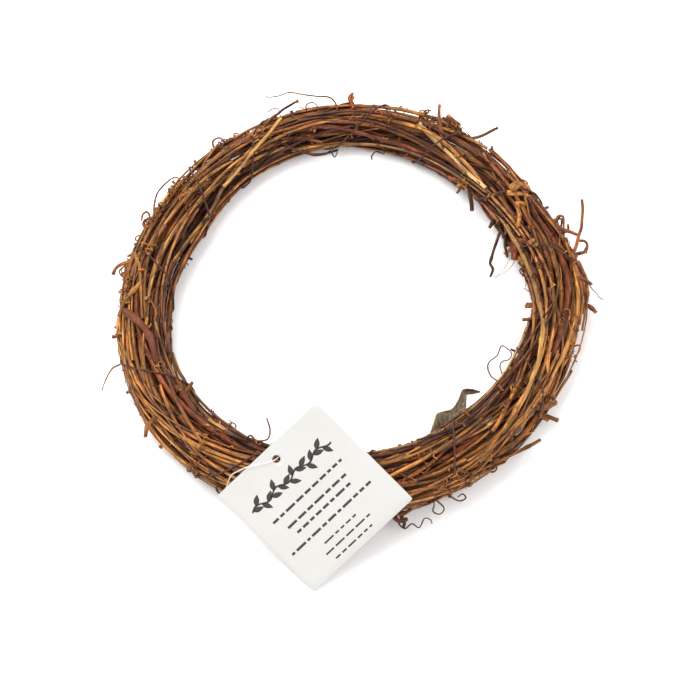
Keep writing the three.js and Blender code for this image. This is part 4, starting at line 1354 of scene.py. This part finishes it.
def stripParts():
    rng = np.random.default_rng(stripRule["seed"])
    made = []
    while len(made) < stripRule["count"]:
        course = courses[rng.integers(len(canes))]
        start = rng.integers(4, len(course["theta"]) - 16)
        away = wayOut(course, start, *stripRule["outside"])
        if away is None:
            continue
        base, onwards = course["points"][start], unit(course["points"][start + 1] - course["points"][start])
        onwards = onwards * rng.choice([-1, 1])
        length = rng.uniform(*stripRule["length"])
        share = np.linspace(0, 1, 16)[:, None]
        sideways = np.cross(onwards, away) * rng.uniform(-stripRule["aside"], stripRule["aside"])
        lift = rng.uniform(*stripRule["lift"]) * share**2
        points = base + away * (course["radius"][start] * stripRule["sunk"] + lift)
        points = points + (onwards + sideways) * length * share + 0.3 * waver(rng, share[:, 0] * length, 4, 3)
        points[:, 2] = np.maximum(points[:, 2], 0.4)
        radii = rng.uniform(*stripRule["width"]) * (1 - share[:, 0] ** 2 * stripRule["taper"])
        colours = barkColour(points, anyTone(rng, stripRule["tones"]), rng, 0.3, 6)
        made.append(tube(points, radii, 6, colours, rng, flat=stripRule["flat"], side=away))
    return made


makePiece("tendrils", tendrilParts(False), twig, "cane_brown")
makePiece("laid_canes", tendrilParts(True), straw, "cane_tan")
makePiece("curl_knots", curlParts(), twig, "cane_dark")
makePiece("loose_fibres", fibreParts(), twig, "cane_brown")
makePiece("broken_stubs", stubParts(), barks["brown"], "cane_brown")
makePiece("bark_strips", stripParts(), barks["red"], "cane_red")
print("tendrils, knots and strips made")


# A closed sheet: a grid of points with half the thickness on either side, joined round its rim
def sheetPart(grid, thickness, colours, grain):
    high, wide = grid.shape[:2]
    along, across = np.gradient(grid, axis=0), np.gradient(grid, axis=1)
    normals = unit(np.cross(along, across)) * thickness / 2
    verts = np.concatenate([(grid + normals).reshape(-1, 3), (grid - normals).reshape(-1, 3)])
    ids = np.arange(high * wide).reshape(high, wide)
    under = ids + high * wide
    top = np.stack([ids[:-1, :-1], ids[1:, :-1], ids[1:, 1:], ids[:-1, 1:]], -1).reshape(-1, 4)
    bottom = np.stack([under[:-1, :-1], under[:-1, 1:], under[1:, 1:], under[1:, :-1]], -1).reshape(-1, 4)
    rim = np.concatenate([ids[:-1, 0], ids[-1, :-1], ids[:0:-1, -1], ids[0, :0:-1]])
    rimUnder, onwards = rim + high * wide, np.roll(rim, -1)
    edge = np.stack([rim, rimUnder, np.roll(rimUnder, -1), onwards], -1)
    return {"verts": verts, "quads": np.concatenate([top, bottom, edge]), "tris": np.zeros((0, 3), int),
            "grain": np.tile(grain.reshape(-1, 3), (2, 1)), "bark": np.tile(colours.reshape(-1, 3), (2, 1))}


# The dry leaf: both edges as they show in the picture, the blade between them creased along its rib
leafLook = {
    "holeSide": ((429, 436), (431, 430), (434, 421), (437, 413.5), (444, 411), (452, 408.5), (458, 400),
                 (461.5, 391), (465, 388.8), (472, 389), (480, 391.2)),
    "caneSide": ((433, 446), (440, 450), (449, 446), (456, 436), (460, 424), (464, 414), (466, 408),
                 (466.5, 400), (467, 395), (473, 394), (480.2, 392.2)),
    "height": 13.4,
    "thickness": 0.32,
    "blade": (0.066, 0.048, 0.026),
    "dry": (0.05, 0.021, 0.011),
    "pale": (0.23, 0.16, 0.085),
    "rows": 70,
    "columns": 40,
    "rib": (0.5, 0.08, 5),  # share of the way across, how far it swings and how fast
    "veinWidth": 0.03,
    "sideVeins": (13, 3.2, 0.7, 0.09),  # how many, how slanted, how strong and how wide
    "droop": 1.2,
    "fold": 2.6,
    "waves": (0.7, 9, 4, 0.4),  # how high, their pace along and across, and their share at the rib
    "relief": 0.18,
    "waver": 0.5,
    "tipCurl": (1.4, 0.78),  # how high, and from which share on
    "tipTone": (0.76, 0.1),  # from which share on, and over which
    "rimWidth": 0.035,
    "paleness": (0.8, 0.6, 0.85),  # of the rim and of the veins, and how much the tip takes away
    "size": (34, 14),
    "stalk": ((432, 440), (428, 447), (425, 455)),
    "stalkHeights": (13.4, 12.5, 11),
    "stalkRadius": 0.5,
    "stalkTone": (0.13, 0.075, 0.038),
}


# The blade goes from its foot at share 0 to its tip at 1. It rises off its rib to both edges, waves and
# curls up at the tip. Its rim and veins are pale, its tip is dark and dry.
def leafPart():
    share = np.linspace(0, 1, leafLook["rows"])
    b = np.linspace(0, 1, leafLook["columns"])
    rng = np.random.default_rng(61)
    edges = [smooth(leafLook[key], share * (len(leafLook[key]) - 1)) for key in ("holeSide", "caneSide")]
    a = share[:, None]
    places = edges[0][:, None] * (1 - b)[None, :, None] + edges[1][:, None] * b[None, :, None]
    middle, swing, pace = leafLook["rib"]
    off = np.abs(b - (middle + swing * np.sin(pace * a)))
    width = leafLook["veinWidth"]
    count, slant, strong, wide = leafLook["sideVeins"]
    phase = (a * count - off * slant) % 1
    side = strong * np.exp(-(((phase - 0.5) / wide) ** 2)) * (off > width)
    veins = np.maximum(np.exp(-((off / width) ** 2)), side)
    high, paceA, paceB, least = leafLook["waves"]
    height = leafLook["height"] - leafLook["droop"] * a + leafLook["fold"] * off
    height = height + high * np.sin(paceA * a + paceB * b) * (least + off)
    height = height + leafLook["relief"] * veins
    height = height + leafLook["waver"] * waver(rng, share * 30, 6)[:, None] * (b - 0.5)
    high, start = leafLook["tipCurl"]
    height = height + high * np.clip(a - start, 0, 1) / 0.22 * np.sin(np.pi * b)
    grid = seenAt(places.reshape(-1, 2), height.ravel()).reshape(len(a), len(b), 3)
    blade, dry, pale = (np.array(leafLook[tone]) for tone in ("blade", "dry", "pale"))
    rim = np.exp(-(np.minimum(b, 1 - b) / leafLook["rimWidth"]))[None, :] + 0 * a
    start, over = leafLook["tipTone"]
    tip = np.clip((a - start) / over, 0, 1) + 0 * off
    colours = blade * (1 - tip[..., None]) + dry * tip[..., None]
    rimPale, veinPale, less = leafLook["paleness"]
    shade = np.clip(rimPale * rim + veinPale * veins, 0, 1)[..., None] * (1 - less * tip[..., None])
    colours = colours * (1 - shade) + pale * shade
    long, wide = leafLook["size"]
    grain = np.stack([a * long + 0 * b, b * wide + 0 * a, height], -1)
    return sheetPart(grid, leafLook["thickness"], colours, grain)


# The leaf's own colours times blotches and the fine lines between its cells
def leafMaterial():
    material, add, give = newMaterial("dry_leaf")
    grain = grainPlace(add)
    blotch = noise(add, grain, 0.35, 5.0, 0.65)
    net = add("TexVoronoi", {"feature": "DISTANCE_TO_EDGE"}, Vector=grain, Scale=1.1).outputs["Distance"]
    tone = ramp(add, blotch, (0.34, (0.38, 0.36, 0.34)), (0.5, 1.0), (0.66, (2.1, 2.0, 1.8)))
    lines = ramp(add, net, (0.0, 1.35), (0.08, 1.0))
    give(Base_Color=product(add, ownColour(add), tone, lines), Roughness=0.78,
         Normal=bumps(add, blotch, 0.5, 0.0004))
    return material


stalk = evenly(seenAt(leafLook["stalk"], np.array(leafLook["stalkHeights"])), 0.6)
stalkPart = tube(stalk, np.full(len(stalk), leafLook["stalkRadius"]), 8, np.array(leafLook["stalkTone"]),
                 np.random.default_rng(62))
makePiece("vine_leaf_blade", [leafPart(), stalkPart], leafMaterial(), "leaf", "vine_leaf")
print("leaf made")

# The card: a square with a punched hole, tilted on the crown with its lowest corner on the table
cardLook = {
    "side": 56.8,
    "thickness": 0.6,
    "tilt": 37,
    "turn": 44.2,
    "corner": (-16.1, -130.6, 0.3),
    "holeRadius": 1.7,
    "holeInset": 5.75,
    "rounding": 0.7,
    "bow": 0.5,
    "bevel": 0.09,
    "edge": 0.996,  # share of the way out to which the flat face goes
    "columns": 240,
    "rows": 30,
    "tone": (0.522, 0.516, 0.495),
}
half = cardLook["side"] / 2
tilt, turn = np.radians(cardLook["tilt"]), np.radians(cardLook["turn"])
cardTilt = np.array([[1, 0, 0], [0, np.cos(tilt), -np.sin(tilt)], [0, np.sin(tilt), np.cos(tilt)]])
cardTurn = np.array([[np.cos(turn), -np.sin(turn), 0], [np.sin(turn), np.cos(turn), 0], [0, 0, 1]])
cardAxes = cardTilt @ cardTurn
cardPlace = np.array(cardLook["corner"]) + ring["middle"] - cardAxes @ np.array([-half, -half, 0])


# Points of the card's own x, y and height above its back, set in their place and slightly bowed
def onCard(x, y, above):
    x, y, above = np.broadcast_arrays(x, y, above)
    bow = cardLook["bow"] * ((x + y) / cardLook["side"]) ** 2 * (1 - np.abs(x - y) / cardLook["side"])
    local = np.stack([x, y, above + bow], -1)
    return local @ cardAxes.T + cardPlace


# The card as a closed loop of rings: from the hole's edge out over the face, round the rim and back
def cardPart():
    count, rows = cardLook["columns"], cardLook["rows"]
    angle = np.linspace(0, 2 * np.pi, count, endpoint=False)
    reach = half - cardLook["rounding"]
    ray = np.stack([np.cos(angle), np.sin(angle)], -1)
    outline = ray / np.abs(ray).max(1, keepdims=True) * half
    corner = np.clip(outline, -reach, reach)
    outline = corner + unit(outline - corner) * cardLook["rounding"]
    centre = np.array([0, half - cardLook["holeInset"]])
    hole = centre + unit(outline - centre) * cardLook["holeRadius"]
    spread = np.linspace(0, 1, rows)[:, None, None]
    face = hole * (1 - spread) + outline * spread
    thick, bevel = cardLook["thickness"], cardLook["bevel"]
    levels = np.concatenate([np.full(rows - 1, thick), [thick - bevel], [bevel], np.full(rows - 1, 0.0)])
    flat = np.concatenate([face[:-1], outline[None], outline[None], face[-2::-1]])
    flat[rows - 2] = hole * 0.004 + outline * cardLook["edge"]
    flat[rows + 1] = flat[rows - 2]
    grid = onCard(flat[..., 0], flat[..., 1], levels[:, None] + 0 * flat[..., 0])
    high = len(flat)
    ids = np.arange(high * count).reshape(high, count)
    across, down = np.roll(ids, -1, 1), np.roll(ids, -1, 0)
    quads = np.stack([ids, down, np.roll(down, -1, 1), across], -1).reshape(-1, 4)
    grain = np.concatenate([flat, (levels[:, None] + 0 * flat[..., 0])[..., None]], -1)
    paper = np.broadcast_to(np.array(cardLook["tone"]), grid.shape)
    return {"verts": grid.reshape(-1, 3), "quads": quads, "tris": np.zeros((0, 3), int),
            "grain": grain.reshape(-1, 3), "bark": paper.reshape(-1, 3)}


# Matt paper or ink, with faint fibres and clouds
def cardMaterial(name, darker):
    material, add, give = newMaterial(name)
    grain = grainPlace(add)
    fibres = noise(add, grain, 2.2, 6.0, 0.7)
    cloud = noise(add, grain, 0.06, 3.0, 0.5)
    tone = ramp(add, fibres, (0.3, 1 - darker), (0.7, 1.03))
    soft = ramp(add, cloud, (0.35, (0.965, 0.96, 0.95)), (0.65, 1.0))
    give(Base_Color=product(add, ownColour(add), tone, soft),
         Roughness=spreadOut(add, fibres, 0.5, 0.72),
         Normal=bumps(add, fibres, 0.12, 0.0001))
    return material


# Plain print: a garland of leaves on a waved stem, and under it rows of dashes, all in one dark ink
printLook = {
    "ink": (0.03, 0.026, 0.026),
    "above": 0.62,
    "stem": (-23, 21, 13.2, 0.42),  # from, to, height on the card and half the width
    "leaves": 17,
    "leaf": (5.0, 1.15),
    "wave": (1.1, 0.55),  # how far the stem swings, and how fast
    "lean": 0.72,
    # from, to, height on the card and half the width of each row of dashes
    "rows": ((-20, 19, 4.1, 0.55), (-17, 16, -1.6, 0.55), (-15.6, 14.6, -5.6, 0.55),
             (-23.8, 22.6, -10.9, 0.55), (-10.8, 9.4, -16.7, 0.38), (-13.6, 12.4, -20.6, 0.38),
             (-11.8, 10.6, -24.5, 0.38)),
    "dashes": (1.4, 5.2),
    "dashGap": 1.1,
}


def printParts():
    ink = np.array(printLook["ink"])
    rng = np.random.default_rng(81)
    made = []

    def flatShape(x, y):
        grid = onCard(x, y, printLook["above"])
        grain = np.stack([x, y, 0 * x], -1)
        made.append(sheetPart(grid, 0.03, np.broadcast_to(ink, grid.shape), grain))

    first, last, level, weight = printLook["stem"]
    along = np.linspace(first, last, 90)[:, None]
    swing, pace = printLook["wave"]
    wave = level + swing * np.sin(along * pace)
    flatShape(along + np.zeros((1, 3)), wave + np.array([[-weight, 0, weight]]))
    length, width = printLook["leaf"]
    for k in range(printLook["leaves"]):
        x = first + 0.6 + (last - first - 4.6) * k / (printLook["leaves"] - 1)
        y = level + swing * np.sin(x * pace)
        lean = (printLook["lean"] if k % 2 else -printLook["lean"]) + 0.4 * np.cos(x * pace)
        share = np.linspace(0.02, 0.98, 14)[:, None]
        across = width * np.sin(np.pi * share**0.8) * np.array([[-1, -0.5, 0, 0.5, 1]])
        flatShape(x + length * share * np.cos(lean) - across * np.sin(lean),
                  y + length * share * np.sin(lean) + across * np.cos(lean))
    for start, end, y, weight in printLook["rows"]:
        while end - start > printLook["dashes"][0]:
            reach = min(start + rng.uniform(*printLook["dashes"]), end)
            along = np.linspace(start, reach, 8)[:, None]
            flatShape(along + np.zeros((1, 3)), y + np.array([[-1, 0, 1]]) * weight + 0 * along)
            start = reach + printLook["dashGap"]
    return made


makePiece("hang_tag_card", cardPart(), cardMaterial("card_paper", 0.05), "card", "hang_tag")
makePiece("card_print", printParts(), cardMaterial("card_ink", 0.3), "card")

# The nylon loop: from its head behind the card, through the hole, over the card's edge, round the bundle
# as [theta, phi, lift] and back. On the card, y is counted from its upper edge.
loopLook = {
    "radius": 0.26,
    "gap": 0.3,
    "overCard": ((5.8, -8.6, -2.6), (2.2, -6.8, -2), (0.5, -5.9, -0.4), (-0.2, -5.6, 0.9), (-1.8, -4.9, 1.4),
                 (-6, -2.6, 1.3), (-10.4, 0.1, 1.4), (-15, 1.7, 0.9), (-19.4, 1.7, -1.6)),
    "round": ((240.4, 12, 2.5), (240.4, -12, 0.4), (240.6, -42, 0), (241, -70, 0), (241.8, -95, 0),
              (242.2, -125, 0), (242.8, -155, 0), (243.8, -185, 0.8), (245.6, -208, 1.9), (248, -226, 2)),
    "end": (6.2, -9.6, -3),
    "headSize": 1.25,
    "headHalf": 1.1,
    "grooves": (0.8, 0.97, 1, 1, 1, 0.9, 0.9, 1, 1, 1, 0.97, 0.8),  # the head's radius on the way through
    "tone": (0.8, 0.8, 0.78),
}


def loopParts():
    rng = np.random.default_rng(71)
    behind = np.array([*loopLook["overCard"], loopLook["end"]])
    behind = onCard(behind[:, 0], half + behind[:, 1], behind[:, 2])
    theta, phi, lift = np.array(loopLook["round"], float).T
    round_ = roundTheBundle(theta, phi, bundleReach(theta, phi) + loopLook["radius"] + loopLook["gap"] + lift)
    points = evenly(np.concatenate([behind[:-1], round_, behind[-1:]]), 0.6)
    points[:, 2] = np.maximum(points[:, 2], loopLook["radius"] + 0.05)
    tone, grooves = np.array(loopLook["tone"]), np.array(loopLook["grooves"])
    parts = [tube(points, np.full(len(points), loopLook["radius"]), 12, tone, rng)]
    middle = (np.array(loopLook["overCard"][0]) + loopLook["end"]) / 2
    through = np.linspace(-loopLook["headHalf"], loopLook["headHalf"], len(grooves))
    head = onCard(middle[0], half + middle[1], middle[2] + through)
    parts.append(tube(head, loopLook["headSize"] * grooves, 16, tone, rng))
    return parts


# Clear nylon with a little haze
def nylonMaterial():
    material, add, give = newMaterial("clear_nylon")
    haze = noise(add, grainPlace(add), 0.8, 3.0, 0.5)
    tone = ramp(add, haze, (0.35, (0.78, 0.79, 0.78)), (0.65, (0.93, 0.93, 0.92)))
    give(Base_Color=tone, Roughness=spreadOut(add, haze, 0.18, 0.34), Alpha=0.4)
    return material


makePiece("tag_loop_nylon", loopParts(), nylonMaterial(), "nylon", "tag_loop")
print("card and loop made")

# A plain pale table, soft light from above and the left, and the camera in the photograph's place
stageLook = {
    "table": 2.0,
    "tableTone": (0.97, 0.97, 0.97, 1),
    "sky": 0.95,
    "lights": (((-0.5, 0.3, 1.1), 1.0, 17), ((0.6, -0.5, 1.1), 1.0, 6)),  # place, width and power
}


# The table isn't a piece of the part
def makeStage():
    world = bpy.data.worlds.new("studio")
    world.use_nodes = True
    background = world.node_tree.nodes["Background"]
    background.inputs["Color"].default_value = (1, 1, 1, 1)
    background.inputs["Strength"].default_value = stageLook["sky"]
    bpy.context.scene.world = world
    size = stageLook["table"]
    mesh = bpy.data.meshes.new("table")
    corners = [(-size, -size, 0), (size, -size, 0), (size, size, 0), (-size, size, 0)]
    mesh.from_pydata(corners, [], [(0, 1, 2, 3)])
    table = bpy.data.objects.new("table", mesh)
    material, _, give = newMaterial("table_paper")
    give(Base_Color=stageLook["tableTone"], Roughness=0.9)
    mesh.materials.append(material)
    bpy.context.scene.collection.objects.link(table)
    for number, (place, width, power) in enumerate(stageLook["lights"]):
        lamp = bpy.data.lights.new(f"soft_light_{number}", "AREA")
        lamp.size, lamp.energy = width, power
        holder = bpy.data.objects.new(lamp.name, lamp)
        holder.location = place
        holder.rotation_euler = (-Vector(place)).to_track_quat("-Z", "Y").to_euler()
        bpy.context.scene.collection.objects.link(holder)
    camera = bpy.data.cameras.new("photo_view")
    camera.lens = view["focal"] / view["size"] * camera.sensor_width
    camera.shift_x = (view["size"] / 2 - view["middle"][0]) / view["size"]
    camera.shift_y = (view["middle"][1] - view["size"] / 2) / view["size"]
    holder = bpy.data.objects.new("photo_view", camera)
    holder.location = viewEye / metre
    holder.rotation_euler = Vector(viewForward).to_track_quat("-Z", "Y").to_euler()
    bpy.context.scene.collection.objects.link(holder)
    bpy.context.scene.camera = holder
    bpy.context.scene.view_settings.view_transform = "Standard"


makeStage()
print("stage made")
